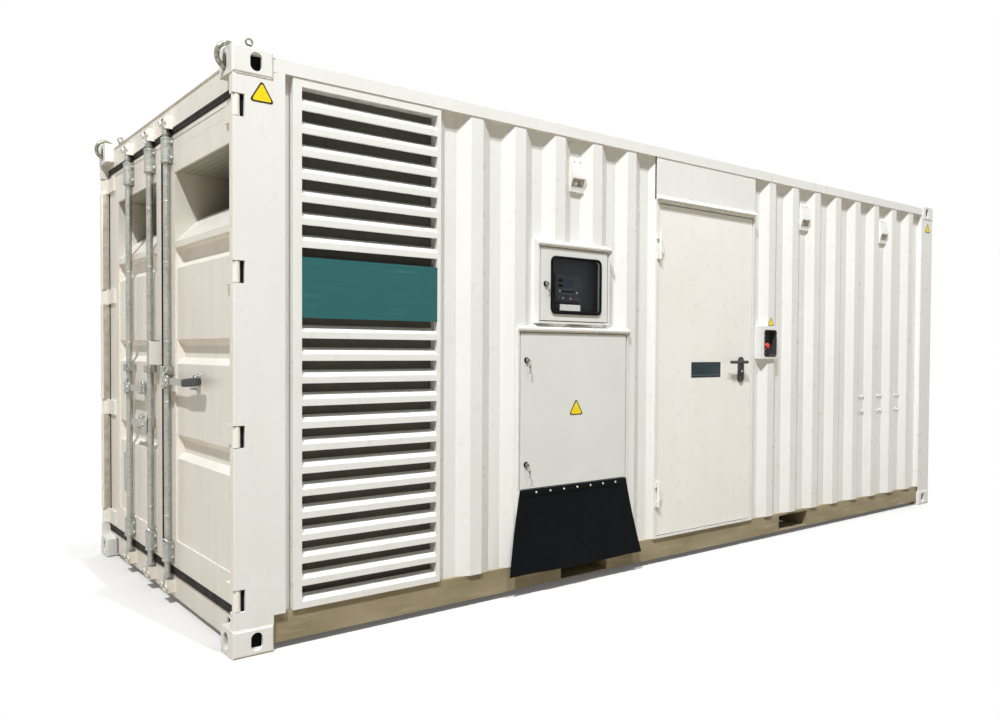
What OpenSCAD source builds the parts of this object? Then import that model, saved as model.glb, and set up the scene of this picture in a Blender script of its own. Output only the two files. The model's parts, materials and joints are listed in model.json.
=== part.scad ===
// Containerised generator set: a 20 ft steel container with a louvred air inlet,
// two cargo doors with discharge hoods, a service door, and two outdoor cabinets.
// Millimetres. Origin at the middle of the base, +X towards the blank end, the
// cabinets on the -Y side, +Z up.

/* [Container] */
// Length over the corner castings
length = 6058; // [5600:1:7000]
// Width over the corner castings
width = 2438; // [2400:1:2600]
// Height over the corner castings
height = 2591; // [2500:1:2896]
// Corner casting length
casting_l = 178; // [170:1:190]
// Corner casting width
casting_w = 162; // [155:1:170]
// Corner casting height
casting_h = 118; // [112:1:124]
// Wall of a corner casting beside its openings
casting_wall = 16; // [12:1:20]
// Plate of a corner casting over its cavity
casting_plate = 28; // [24:1:32]

/* [Frame] */
// How far posts and rails stand inside the casting faces
frame_inset = 4; // [3:1:6]
// Depth of a door post along the side
post_depth = 226; // [200:1:250]
// Width of a door post across the end
post_width = 130; // [120:1:140]
// Width of the hinge leg of a door post
leg_width = 44; // [40:1:48]
// Depth of the hinge leg of a door post
leg_depth = 112; // [110:1:120]
// Depth of a front post along the side
front_post_depth = 187; // [180:1:220]
// Plate thickness of posts and rails
plate = 6; // [4:1:8]
// Underside of the bottom rails above the ground
rail_z = 30; // [20:1:40]
// Height of the bottom rails
rail_h = 128; // [120:1:140]
// How far the bottom rails stand inside the casting faces
rail_inset = 20; // [14:1:30]
// Flange width of the bottom rails
rail_flange = 50; // [40:1:60]
// Width of the top side rails
top_rail_w = 60; // [50:1:70]
// Height of the top side rails
top_rail_h = 58; // [50:1:70]
// Drop of the top rails below the top of the castings
top_rail_drop = 24; // [15:1:30]
// Pitch of the cross members
cross_pitch = 293; // [250:1:340]
// Width of a cross member
cross_w = 45; // [40:1:60]
// Thickness of the chequer plate floor
floor_t = 8; // [5:1:12]
// Distance between the middles of the fork pockets
fork_spacing = 2050; // [1900:1:2100]
// Clear width of a fork pocket
fork_w = 352; // [320:1:380]

/* [Walls] */
// Face of the wall crests inside the casting faces
wall_inset = 8; // [6:1:12]
// Pitch of the side corrugation
wave_pitch = 278; // [240:1:300]
// Width of a crest
wave_crest = 72; // [60:1:90]
// Length of a sloping flank
wave_flank = 68; // [50:1:80]
// Depth of the corrugation
wave_depth = 36; // [25:1:45]
// Sheet thickness
sheet = 3; // [2:0.5:4]
// Thickness of the insulated lining
lining = 60; // [50:1:80]
// Air space behind the corrugated sheet
lining_gap = 6; // [4:1:12]
// Middle of a crest, measured from the door end
wave_start = 1241; // [1230:1:1250]

/* [Louvre] */
// Where the louvre panel starts, from the door end
louvre_x = 266; // [260:1:280]
// Width of the louvre panel
louvre_w = 754; // [700:1:780]
// Width of its side members
louvre_side = 41; // [30:1:50]
// Number of blades
louvre_count = 23; // [15:1:23]
// Distance from blade to blade
louvre_pitch = 100.4; // [90:0.1:100.4]
// Lower edge of the lowest blade
louvre_z = 161; // [160:1:170]
// Depth of the louvre panel
louvre_depth = 60; // [50:1:70]
// Height of a blade's upright face
blade_face = 28; // [20:1:36]
// Rise of a blade's slope
blade_rise = 30; // [24:1:40]
// Number of blades behind the coloured plate
band_blades = 3; // [1:1:5]
// Blades below the coloured plate
band_first = 13; // [4:1:14]

/* [Cargo doors] */
// Gap between a door leaf and its post
door_gap = 5; // [4:1:6]
// Gap between the two leaves
seam_gap = 13; // [12:1:16]
// Outer face of the leaves behind the casting face
leaf_x = 50; // [48:1:52]
// Thickness of a leaf
leaf_t = 50; // [46:1:52]
// Underside of the leaves
leaf_z = 187; // [180:1:195]
// Top of the leaves below the top of the castings
leaf_drop = 207; // [201:1:240]
// Margin of the pressed panel on the side nearer the cabinets
stile_near = 96; // [90:1:110]
// Margin of the pressed panel on the other side
stile_far = 228; // [200:1:240]
// Depth of the panel below the leaf's frame
panel_drop = 8; // [5:1:12]
// Depth of a pressed groove
groove_depth = 30; // [20:1:32]
// Height of a pressed groove
groove_h = 124; // [100:1:140]
// Lower edge of the lowest groove
groove_z = 753; // [700:1:800]
// From the highest groove's lower edge up to the discharge opening
groove_below_vent = 133; // [128:1:160]
// Length of a groove's sloping side
groove_flank = 32; // [25:1:40]
// Lower edge of the discharge opening below the top of the castings
vent_drop = 731; // [691:1:741]
// Height of the discharge opening
vent_h = 355; // [300:1:370]
// Length of the discharge hood behind the leaf's face
hood_depth = 290; // [260:1:300]
// Run of the sloping sill inside the hood
sill_run = 125; // [100:1:140]
// Rise of the sloping sill inside the hood
sill_rise = 132; // [110:1:150]
// Hinge pin behind the casting faces
pin_inset = 22; // [21:1:24]
// Radius of a hinge pin
pin_r = 10; // [8:0.5:11]
// Radius of a hinge knuckle
knuckle_r = 17; // [15:0.5:18]
// Height of a hinge recess
hinge_h = 96; // [90:1:110]
// Depth of a hinge recess
hinge_recess = 54; // [53:1:60]

/* [Locking gear] */
// Radius of a lock rod
rod_r = 17; // [15:0.5:18]
// Axis of the lock rods behind the casting faces
rod_x = 28; // [27:0.5:29]
// Near rod, from the middle of the width
rod_near_off = 169; // [150:1:185]
// Inner rod of the far leaf, from the middle of the width
rod_inner_off = 153; // [140:1:175]
// Outer rod of the far leaf, from the middle of the width
rod_outer_off = 603; // [590:1:620]
// Clearance between a rod and its guides
rod_clear = 0.3; // [0.2:0.1:1]
// Height of the near handle
handle_z = 1158; // [1140:1:1180]
// Length of the near handle
handle_l = 560; // [500:1:600]
// Reach of a cam nose from the rod's axis
cam_reach = 34; // [28:1:36]
// Clearance beside a cam
cam_clear = 8; // [6:1:12]

/* [Service door] */
// Hinge edge of the leaf, from the door end
service_x = 2600; // [2590:1:2620]
// Width of the leaf
service_w = 924; // [880:1:940]
// Underside of the leaf
service_z = 176; // [172:1:190]
// Top of the leaf below the top of the castings
service_drop = 365; // [355:1:500]
// Thickness of the leaf
service_t = 44; // [40:1:50]
// Width of the frame beside the leaf
service_jamb = 22; // [18:1:30]
// Face of the leaf behind the casting face
service_face = 14; // [12:1:20]
// Height of the lever's spindle
lever_z = 1250; // [1100:1:1300]

/* [Cabinets] */
// Left edge of the control cabinet's door past that of the power cabinet
control_in = 134; // [120:1:150]
// Width of the control cabinet's door
control_w = 500; // [460:1:500]
// Underside of the control cabinet's door
control_z = 1484; // [1480:1:1500]
// Height of the control cabinet's door
control_h = 398; // [360:1:400]
// Depth of the control cabinet
control_d = 210; // [180:1:250]
// From the power cabinet's door to the service door's frame
power_gap = 262; // [240:1:280]
// Width of the power cabinet's door
power_w = 790; // [700:1:790]
// Underside of the power cabinet's door
power_z = 573; // [560:1:600]
// Height of the power cabinet's door
power_h = 840; // [800:1:850]
// Depth of the power cabinet
power_d = 310; // [250:1:360]
// How far the cabinets stand out past the casting face
cabinet_out = 6; // [2:1:12]
// Thickness of a cabinet door
cabinet_t = 20; // [18:1:24]
// Gap around a cabinet door
cabinet_gap = 6; // [5:0.5:8]
// Rim of a cabinet around its door
cabinet_rim = 10; // [8:1:16]
// Thickness of the rubber skirt
skirt_t = 6; // [4:1:10]
// Spread of the skirt at each lower corner
skirt_flare = 92; // [60:1:110]
// How far the skirt's lower edge stands out
skirt_out = 36; // [20:1:50]
// Lower edge of the skirt
skirt_z = 120; // [100:1:160]

/* [Fittings] */
// From the service door's frame to the stop box
stop_gap = 60; // [40:1:80]
// Width of the stop box
stop_w = 194; // [190:1:210]
// Underside of the stop box
stop_z = 1272; // [1250:1:1300]
// Height of the stop box
stop_h = 226; // [210:1:240]
// Travel of the stop button
stop_travel = 5; // [4:0.5:6]
// Lower edge of the wall brackets below the top of the castings
bracket_drop = 376; // [360:1:420]
// Height of a wall bracket
bracket_h = 190; // [160:1:210]
// Wire radius of a shackle
shackle_r = 12; // [10:0.5:13]

/* [Hidden] */
$fn = 32;
eps = 0.01;

white = "#f2f1ec";
cream = "#e6e1d7";
khaki = "#968a6c";
zinc = "#9aa09a";
black = "#1b1d1e";
grey = "#dedfdc";
teal = "#336766";

// Levels and lines shared by several pieces
rail_top = rail_z + rail_h;
top_rail_z = height - top_rail_drop - top_rail_h;
top_rail_top = height - top_rail_drop;
floor_top = rail_top;
post_end = frame_inset + post_depth;
front_post_x = length - frame_inset - front_post_depth;
mid_y = width / 2;
wall_back = wall_inset + wave_depth + sheet;
lining_y = wall_back + lining_gap;
lining_in = lining_y + lining;
ceiling_z = top_rail_z - lining - 10;
roof_depth = 20;
roof_z = top_rail_top - 2 - roof_depth - sheet;
leaf_back = leaf_x + leaf_t;
leaf_top = height - leaf_drop;
vent_z = height - vent_drop;
groove_pitch = (vent_z - groove_below_vent - groove_z) / 2;
rod_near = mid_y - rod_near_off;
rod_inner = mid_y + rod_inner_off;
rod_outer = mid_y + rod_outer_off;
leaf_side = leg_width + door_gap;
leaf_w = mid_y - seam_gap / 2 - leaf_side;
hinge_first = leaf_z + 58;
hinge_last = leaf_top - 44;
hinge_levels = [for (i = [0:3]) hinge_first + i * (hinge_last - hinge_first) / 3];
wall_end = service_x - service_jamb - 10;
wall_restart = service_x + service_w + service_jamb;
service_top = height - service_drop;
power_x = wall_end - power_gap - power_w;
control_x = power_x + control_in;
stop_x = wall_restart + stop_gap;
bracket_z = height - bracket_drop;
cover_z = service_top + 26;
cabinet_y = -cabinet_out;
surround = cabinet_gap + cabinet_rim;

// Puts a piece that is drawn from the door end and the near side on the origin
module place() translate([-length / 2, -mid_y, 0]) children();

// The same piece on the other side
module far_side() translate([0, width, 0]) mirror([0, 1, 0]) children();

module both_sides() {
    children();
    far_side() children();
}

// A block between two corners
module block(x0, x1, y0, y1, z0, z1)
    translate([x0, y0, z0]) cube([x1 - x0, y1 - y0, z1 - z0]);

// A round-ended slot along X, centred
module slot(l, w, h) {
    translate([-(l - w) / 2, -w / 2, 0]) cube([l - w, w, h]);
    for (s = [-1, 1]) translate([s * (l - w) / 2, 0, 0]) cylinder(h = h, d = w);
}

// A rectangle with round corners, from its corner
module soft_rectangle(l, w, r) {
    translate([r, 0]) square([l - 2 * r, w]);
    translate([0, r]) square([l, w - 2 * r]);
    for (x = [r, l - r], y = [r, w - r]) translate([x, y]) circle(r);
}

// A profile in X and Z carried along Y
module along_y(y0, y1) translate([0, y1, 0]) rotate([90, 0, 0])
    linear_extrude(y1 - y0) children();

// A profile in Y and Z carried along X
module along_x(x0, x1) translate([x0, 0, 0]) rotate([90, 0, 90])
    linear_extrude(x1 - x0) children();

// ---------- Corrugated sheet ----------

// Depth of the corrugation at a place s, with a crest at the start
function wave_d(s, start) =
    let (t = s - start, u = abs(t - wave_pitch * round(t / wave_pitch)))
    wave_depth * min(1, max(0, (u - wave_crest / 2) / wave_flank));

// Places where the line bends, between a and b
function wave_bends(a, b, start) =
    let (c = wave_crest / 2, f = c + wave_flank,
         first = floor((a - start) / wave_pitch) - 1,
         last = ceil((b - start) / wave_pitch) + 1)
    concat([a],
        [for (k = [first:last], o = [-f, -c, c, f])
            let (s = start + k * wave_pitch + o) if (s > a + 1 && s < b - 1) s],
        [b]);

module wave_profile(a, b, start, t = sheet) {
    bends = wave_bends(a, b, start);
    n = len(bends);
    polygon(concat(
        [for (s = bends) [s, wave_d(s, start)]],
        [for (i = [n - 1:-1:0]) [bends[i], wave_d(bends[i], start) + t]]));
}

// ---------- Corner castings ----------

casting_round = 10;
end_hole_w = 51;
end_hole_h = 79.5;
lock_hole_l = 124.5;
lock_hole_w = 63.5;
lock_x = 102.5;
lock_y = 89.5;

// Door-end near casting with its locking hole in the underside
module casting() difference() {
    intersection() {
        linear_extrude(casting_h) soft_rectangle(casting_l, casting_w, casting_round);
        along_x(0, casting_l) soft_rectangle(casting_w, casting_h, casting_round);
    }
    block(casting_wall, casting_l - casting_wall, casting_wall, casting_w - casting_wall,
        casting_plate, casting_h - casting_wall);
    translate([lock_x, lock_y, -1]) slot(lock_hole_l, lock_hole_w, casting_plate + 2);
    translate([-1, lock_y, casting_h / 2]) rotate([0, 90, 0])
        slot(end_hole_h, end_hole_w, casting_wall + 2);
    translate([lock_x, casting_wall + 1, casting_h / 2]) rotate([90, 90, 0])
        slot(end_hole_h, end_hole_w, casting_wall + 2);
}

module four_castings() both_sides() {
    casting();
    translate([length, 0, 0]) mirror([1, 0, 0]) casting();
}

module bottom_castings() color(white) place() four_castings();

module top_castings() color(white) place()
    translate([0, 0, height]) mirror([0, 0, 1]) four_castings();

// ---------- Posts, rails and floor ----------

post_top = height - casting_h;
post_wall = 8;

// Section of a door post: the hinge leg and the box behind it
module door_post_section() difference() {
    union() {
        translate([frame_inset, frame_inset])
            square([leg_depth - frame_inset, leg_width - frame_inset]);
        translate([leg_depth, frame_inset])
            square([post_end - leg_depth, post_width - frame_inset]);
    }
    translate([leg_depth + post_wall, frame_inset + post_wall])
        square([post_end - leg_depth - 2 * post_wall,
                post_width - frame_inset - 2 * post_wall]);
}

module door_post() {
    difference() {
        translate([0, 0, casting_h]) linear_extrude(post_top - casting_h)
            door_post_section();
        for (z = hinge_levels)
            block(-1, hinge_recess, -1, leg_width + 1, z - hinge_h / 2, z + hinge_h / 2);
        block(casting_l, post_end + 1, 0, post_width + 1, casting_h - 1, rail_top);
    }
    for (z = hinge_levels) translate([pin_inset, pin_inset, z - hinge_h / 2 - 1])
        cylinder(h = hinge_h + 2, r = pin_r);
    block(casting_l, post_end, frame_inset, post_width, post_top - eps, top_rail_z);
}

module door_end_posts() color(white) place() both_sides() door_post();

module front_post() {
    difference() {
        block(front_post_x, length - frame_inset, frame_inset, post_width,
            casting_h, post_top);
        block(front_post_x + post_wall, length - frame_inset - post_wall,
            frame_inset + post_wall, post_width - post_wall, casting_h - 1, post_top + 1);
        block(front_post_x - 1, length - casting_l, 0, post_width + 1,
            casting_h - 1, rail_top);
    }
    block(front_post_x, length - casting_l, frame_inset, post_width,
        post_top - eps, top_rail_z);
}

module front_posts() color(white) place() both_sides() front_post();

fork_middles = [for (s = [-1, 1]) length / 2 + s * fork_spacing / 2];
fork_h = 112;

// One bottom rail, a channel open to the inside
module bottom_rail() difference() {
    block(casting_l, length - casting_l, rail_inset, rail_inset + rail_flange,
        rail_z, rail_top);
    block(casting_l - 1, length - casting_l + 1, rail_inset + plate,
        rail_inset + rail_flange + 1, rail_z + plate, rail_top - plate);
    for (x = fork_middles)
        block(x - fork_w / 2 - plate, x + fork_w / 2 + plate, 0, width / 4,
            rail_z - 1, rail_z + fork_h + plate);
}

module bottom_side_rails() color(khaki) place() both_sides() bottom_rail();

// A tunnel across the whole width with a strap under each end
module fork_pocket(x) {
    y0 = rail_inset;
    y1 = width - rail_inset;
    strap = 180;
    for (s = [-1, 1]) translate([x + s * (fork_w + plate) / 2, 0, 0])
        block(-plate / 2, plate / 2, y0, y1, rail_z, rail_z + fork_h + plate);
    block(x - fork_w / 2 - plate, x + fork_w / 2 + plate, y0, y1,
        rail_z + fork_h, rail_z + fork_h + plate);
    for (y = [y0, y1 - strap])
        block(x - fork_w / 2 - plate, x + fork_w / 2 + plate, y, y + strap,
            rail_z, rail_z + plate);
}

module fork_pockets() color(khaki) place() for (x = fork_middles) fork_pocket(x);

cross_top = floor_top - floor_t;
cross_first = 330;
cross_end_gap = 300;
cross_places = [for (x = [cross_first:cross_pitch:length - cross_end_gap])
    if (min([for (f = fork_middles) abs(x + cross_w / 2 - f)]) > fork_w / 2 + cross_w) x];

module cross_member(x) difference() {
    block(x, x + cross_w, rail_inset + rail_flange, width - rail_inset - rail_flange,
        rail_z, cross_top);
    block(x + plate, x + cross_w + 1, 0, width, rail_z + plate, cross_top - plate);
}

module cross_members() color(khaki) place() for (x = cross_places) cross_member(x);

sill_x = leaf_x + 2;
sill_back = leg_depth + 6;
sill_top = 153;

module floor_plate() color(khaki) place() difference() {
    block(sill_back, length - frame_inset - rail_flange, rail_inset + rail_flange,
        width - rail_inset - rail_flange, cross_top, floor_top);
    both_sides() {
        block(0, casting_l, 0, post_width, 0, rail_top + 1);
        block(length - casting_l, length, 0, post_width, 0, rail_top + 1);
    }
}

sill_notch = 62;

module door_sill() color(cream) place() difference() {
    along_y(leg_width, width - leg_width) difference() {
        translate([sill_x, rail_z]) square([sill_back - sill_x, sill_top - rail_z]);
        translate([sill_x + plate, rail_z + plate])
            square([sill_back - sill_x, sill_top - rail_z - 2 * plate]);
    }
    both_sides() {
        block(0, sill_back + 1, 0, casting_w, 0, casting_h);
        block(0, sill_back + 1, casting_w - 1, casting_w + sill_notch, 0, casting_h + 4);
        block(leg_depth, sill_back + 1, 0, post_width, 0, rail_top);
    }
}

header_z = leaf_top + 28;
header_back = leg_depth + 12;

module door_header() color(cream) place() difference() {
    along_y(leg_width, width - leg_width) {
        difference() {
            translate([sill_x, header_z])
                square([header_back - sill_x, top_rail_top - header_z]);
            translate([sill_x + plate, header_z + plate])
                square([header_back - sill_x, top_rail_top - header_z - 2 * plate]);
        }
        translate([leg_depth, leaf_top + 8]) square([header_back - leg_depth, 30]);
    }
    both_sides() {
        block(0, header_back + 1, 0, casting_w, post_top, height);
        block(leg_depth, header_back + 1, 0, post_width, 0, height);
    }
}

module front_rails() color(white) place() {
    for (z = [[rail_z, rail_top], [top_rail_z, top_rail_top]]) difference() {
        block(length - frame_inset - rail_flange, length - frame_inset,
            casting_w, width - casting_w, z[0], z[1]);
        block(length - frame_inset - rail_flange - 1, length - frame_inset - plate,
            0, width, z[0] + plate, z[1] - plate);
    }
    both_sides() block(length - frame_inset - rail_flange, length - frame_inset,
        post_width, casting_w + eps, casting_h, rail_top);
}

module top_side_rails() color(white) place() both_sides() difference() {
    block(casting_l, length - casting_l, frame_inset, frame_inset + top_rail_w,
        top_rail_z, top_rail_top);
    block(casting_l - 1, length - casting_l + 1, frame_inset + plate,
        frame_inset + top_rail_w - plate, top_rail_z + plate, top_rail_top - plate);
}

roof_pitch = 209;
roof_flat = 60;
roof_slope = 30;

// Height of the roof's pressing at a place along it
function roof_d(x) =
    let (t = x - length / 2, u = abs(t - roof_pitch * round(t / roof_pitch)))
    roof_depth * min(1, max(0, (u - roof_flat) / roof_slope));

module roof_sheet() color(white) place() {
    a = header_back;
    b = length - frame_inset - rail_flange;
    n = floor((b - a) / 2 / roof_pitch);
    bends = concat([a], [for (k = [-n:n], o = [-1, 1])
        for (w = (o < 0 ? [roof_flat + roof_slope, roof_flat] : [roof_flat, roof_flat + roof_slope]))
            let (x = length / 2 + k * roof_pitch + o * w) if (x > a + 1 && x < b - 1) x], [b]);
    m = len(bends);
    top = roof_z + sheet + roof_depth;
    difference() {
        along_y(frame_inset + top_rail_w, width - frame_inset - top_rail_w)
            polygon(concat([for (x = bends) [x, top - roof_d(x)]],
                [for (i = [m - 1:-1:0]) [bends[i], top - sheet - roof_d(bends[i])]]));
        both_sides() for (x = [0, length - casting_l])
            block(x, x + casting_l, 0, casting_w, post_top, height);
    }
}

// ---------- Walls and linings ----------

wall_z = rail_top;
wall_top = top_rail_z;

module side_wall(a, b) translate([0, wall_inset, wall_z])
    linear_extrude(wall_top - wall_z) wave_profile(a, b, wave_start);

module cabinet_cuts() {
    block(control_x - surround, control_x + control_w + surround, -50, control_d,
        control_z - surround, control_z + control_h + surround);
    rain_hood(control_x, control_w, control_z + control_h + surround);
    block(power_x - surround, power_x + power_w + surround, -50, power_d,
        wall_z - 1, power_z + power_h + surround);
    rain_hood(power_x, power_w, power_z + power_h + surround);
}

louvre_end = louvre_x + louvre_w;

module near_wall_middle() color(white) place() difference() {
    side_wall(louvre_end, wall_end);
    cabinet_cuts();
}

module near_wall_front() color(white) place() difference() {
    side_wall(wall_restart, front_post_x);
    stop_block();
}

module far_wall() color(white) place() far_side() side_wall(louvre_end, front_post_x);

module front_wall() color(white) place() difference() {
    translate([length - wall_inset, 0, wall_z]) rotate([0, 0, 90])
        linear_extrude(wall_top - wall_z)
            wave_profile(post_width, width - post_width, mid_y);
    both_sides() block(length - casting_l, length, 0, casting_w, post_top, height);
}

lining_front = front_post_x - lining;

module side_linings() color(grey) place() {
    difference() {
        block(louvre_end + 10, lining_front, lining_y, lining_in, floor_top, ceiling_z);
        cabinet_cuts();
        block(wall_end, wall_restart, 0, width / 2, floor_top - 1, ceiling_z + 1);
    }
    block(wall_end, wall_restart, lining_y, lining_in, cover_z, ceiling_z);
    far_side() block(louvre_end + 10, lining_front, lining_y, lining_in,
        floor_top, ceiling_z);
}

module roof_lining() color(grey) place()
    block(louvre_end + 10, lining_front, lining_y, width - lining_y,
        ceiling_z, ceiling_z + lining);

module front_lining() color(grey) place()
    block(lining_front, lining_front + lining, lining_y, width - lining_y,
        floor_top, ceiling_z + lining);

// ---------- Louvre panels ----------

blade_t = 2;
blade_run = 36;
louvre_top = top_rail_z;
louvre_face = wall_inset;
slot_x0 = louvre_x + louvre_side;
slot_x1 = louvre_end - 17;
louvre_rim = 16;
blades = min(louvre_count, floor((louvre_top - louvre_rim - louvre_z) / louvre_pitch));
blades_top = louvre_z + blades * louvre_pitch;

// Section of one blade: back lip, upright face, slope and upper lip
module blade_section() translate([louvre_face, 0]) polygon([
    [0, 0], [14, 0], [14, blade_t], [blade_t, blade_t], [blade_t, blade_face],
    [blade_t + blade_run, blade_face + blade_rise],
    [blade_t + blade_run, blade_face + blade_rise + blade_t],
    [blade_run, blade_face + blade_rise + blade_t], [0, blade_face + blade_t]]);

module louvre() {
    for (i = [0:blades - 1]) translate([0, 0, louvre_z + i * louvre_pitch])
        along_x(slot_x0 - 1, slot_x1 + 1) blade_section();
    block(louvre_x, slot_x0, louvre_face, louvre_face + louvre_depth, louvre_z, louvre_top);
    block(slot_x1, louvre_end, louvre_face, louvre_face + louvre_depth,
        louvre_z, louvre_top);
    block(slot_x0 - 1, slot_x1 + 1, louvre_face, louvre_face + louvre_depth,
        blades_top, louvre_top);
}

// Plain strip between the door post and the louvre panel
module louvre_strip() block(post_end, louvre_x + eps, wall_inset + wave_depth,
    louvre_face + louvre_depth, wall_z, wall_top);

module near_louvre() color(white) place() {
    louvre();
    louvre_strip();
}

module far_louvre() color(white) place() far_side() {
    louvre();
    louvre_strip();
}

screen_t = 3;

module louvre_screens() color(black) place() both_sides()
    block(louvre_x, louvre_end, louvre_face + louvre_depth,
        louvre_face + louvre_depth + screen_t, louvre_z, louvre_top);

band_z = louvre_z + band_first * louvre_pitch;
band_t = 2;

module band_plate() color(teal) place()
    block(slot_x0, slot_x1, louvre_face - band_t, louvre_face, band_z - 10,
        band_z + (band_blades - 1) * louvre_pitch + blade_face + blade_rise);

// ---------- Service door ----------

service_swing = 5;
service_lock_gap = 7;
stop_lip = 18;
service_seat = service_face + service_t + 4;

module service_door_frame() color(white) place() {
    x1 = service_x + service_w;
    difference() {
        block(wall_end, wall_restart, wall_inset, lining_in, wall_z, cover_z);
        block(service_x - service_swing, x1 + service_lock_gap, 0, service_seat,
            service_z - service_swing, service_top + service_swing);
        block(service_x + stop_lip, x1 - stop_lip, 0, lining_in + 1,
            service_z - service_swing, service_top - stop_lip);
    }
    for (z = service_hinges, o = [-knuckle_h / 2 - knuckle_end_h, knuckle_h / 2])
        translate([0, 0, z + o]) {
            translate([service_pin_x, service_pin_y, 0]) difference() {
                cylinder(h = knuckle_end_h, r = service_knuckle_r);
                translate([0, 0, -1]) cylinder(h = knuckle_end_h + 2, r = service_pin_r);
            }
            block(service_x - 28, service_pin_x - service_pin_r - 1, service_pin_y,
                wall_inset, 0, knuckle_end_h);
        }
    for (z = service_hinges)
        translate([service_pin_x, service_pin_y, z - knuckle_h / 2 - knuckle_end_h])
            cylinder(h = knuckle_h + 2 * knuckle_end_h, r = service_pin_r);
}

service_pin_x = service_x - 4;
service_pin_y = -2;
service_knuckle_r = 9;
service_pin_r = 5;
knuckle_h = 83;
knuckle_end_h = 38;
knuckle_play = 0.6;
knuckle_leaf = 26;
hinge_in = 260;
service_hinges = [service_z + hinge_in, service_top - hinge_in];

module service_door() color(white) place() {
    block(service_x, service_x + service_w, service_face, service_face + service_t,
        service_z, service_top);
    leaf_h = knuckle_h - knuckle_play;
    for (z = service_hinges) translate([0, 0, z - leaf_h / 2]) difference() {
        union() {
            translate([service_pin_x, service_pin_y, 0])
                cylinder(h = leaf_h, r = service_knuckle_r);
            block(service_pin_x, service_x + knuckle_leaf, service_pin_y, service_face,
                0, leaf_h);
        }
        translate([service_pin_x, service_pin_y, -1])
            cylinder(h = leaf_h + 2, r = service_pin_r + 0.3);
    }
}

lever_in = 116;
lever_x = service_x + service_w - lever_in;
lever_r = 9;
lever_out = 44;
bar_r = 10;
bar_back = 156;
bar_front = 28;
lock_plate_w = 57;
lock_plate_h = 170;
lock_plate_t = 10;
spindle_down = 34;

module lock_plate() color(black) place() difference() {
    translate([lever_x, service_face, lever_z + spindle_down - lock_plate_h / 2])
        rotate([90, 90, 0]) slot(lock_plate_h, lock_plate_w, lock_plate_t);
    translate([lever_x, service_face + 1, lever_z]) rotate([90, 0, 0])
        cylinder(h = lock_plate_t + 2, r = lever_r + 0.3);
}

module service_lever() color(black) place() {
    long = bar_back + bar_front;
    translate([lever_x, service_face - 0.3, lever_z]) rotate([90, 0, 0])
        cylinder(h = lever_out, r = lever_r);
    translate([lever_x - bar_back, service_face - lever_out, lever_z]) rotate([0, 90, 0])
        rotate_extrude() polygon([[0, 0], [bar_r - 6, 0], [bar_r - 2, 2], [bar_r, 6],
            [bar_r, long - 6], [bar_r - 2, long - 2], [bar_r - 6, long], [0, long]]);
}

cover_t = 3;
canopy_out = 22;

module service_door_cover() color(white) place() {
    block(wall_end, wall_restart, wall_inset, wall_inset + cover_t, cover_z, wall_top);
    along_x(wall_end, wall_restart) polygon([
        [wall_inset + cover_t, cover_z], [wall_inset - canopy_out, cover_z],
        [wall_inset - canopy_out, cover_z + 5], [wall_inset + 1, cover_z + 26],
        [wall_inset + cover_t, cover_z + 26]]);
}

// ---------- Cabinets ----------

shell_t = 3;
seat_y = cabinet_y + cabinet_t + 5;
cabinet_front = cabinet_y + 2;
cabinet_lip = 14;
door_pin_r = 4;
door_pin_in = 20;
hood_h = 10;
hood_out = 14;
hood_fall = 0.4;
hood_end = 6;
hood_return = 22;

// Rain hood over a cabinet, from the wall down to a front lip
module rain_hood(x, w, z) {
    end = x + w + surround + hood_end;
    along_x(x - surround, end) polygon([
        [wall_back, z], [cabinet_front - hood_out, z], [cabinet_front - hood_out, z + hood_h],
        [wall_back, z + hood_h + hood_fall * (wall_back - cabinet_front + hood_out)]]);
    block(end - shell_t, end, cabinet_front - hood_out, 0, z - hood_return, z + eps);
}

// Hollow housing for a door of width w and height h at x, z
module housing(x, w, z, h, d) {
    a = x - surround;
    b = x + w + surround;
    low = z - surround;
    high = z + h + surround;
    difference() {
        block(a, b, cabinet_front, d, low, high);
        block(x - cabinet_gap, x + w + cabinet_gap, cabinet_front - 1, seat_y,
            z - cabinet_gap, z + h + cabinet_gap);
        block(x + cabinet_lip - cabinet_gap, x + w - cabinet_lip + cabinet_gap,
            seat_y - 1, seat_y + shell_t + 1,
            z + cabinet_lip - cabinet_gap, z + h - cabinet_lip + cabinet_gap);
        block(a + shell_t, b - shell_t, seat_y + shell_t, d - shell_t,
            low + shell_t, high - shell_t);
    }
    for (p = [z - cabinet_gap - eps, z + h - door_pin_in])
        translate([x + w - cabinet_t / 2, cabinet_y + cabinet_t / 2, p])
            cylinder(h = cabinet_gap + door_pin_in + eps, r = door_pin_r);
    rain_hood(x, w, high);
}

module control_cabinet() color(white) place()
    housing(control_x, control_w, control_z, control_h, control_d);

power_low = power_z - surround;

module power_cabinet() color(white) place() {
    housing(power_x, power_w, power_z, power_h, power_d);
    a = power_x - surround;
    b = power_x + power_w + surround;
    difference() {
        block(a, b, cabinet_front, power_d, wall_z, power_low + eps);
        block(a + shell_t, b - shell_t, cabinet_front + shell_t, power_d - shell_t,
            wall_z + shell_t, power_low + 1);
        block(a + 20, b - 20, cabinet_front - 1, cabinet_front + shell_t + 1,
            wall_z + 20, power_low - 26);
    }
}

panel_y = 62;
unit_in = 72;
unit_end = 116;
unit_low = 72;
unit_top = 92;
unit_out = 18;

module controller() color(black) place() {
    a = control_x - surround + shell_t;
    b = control_x + control_w + surround - shell_t;
    block(a, b, panel_y, panel_y + 3,
        control_z - surround + shell_t, control_z + control_h + surround - shell_t);
    block(window_x + unit_in, window_x + window_w - unit_end, panel_y - unit_out, panel_y,
        window_z + unit_low, window_z + window_h - unit_top);
}

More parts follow.
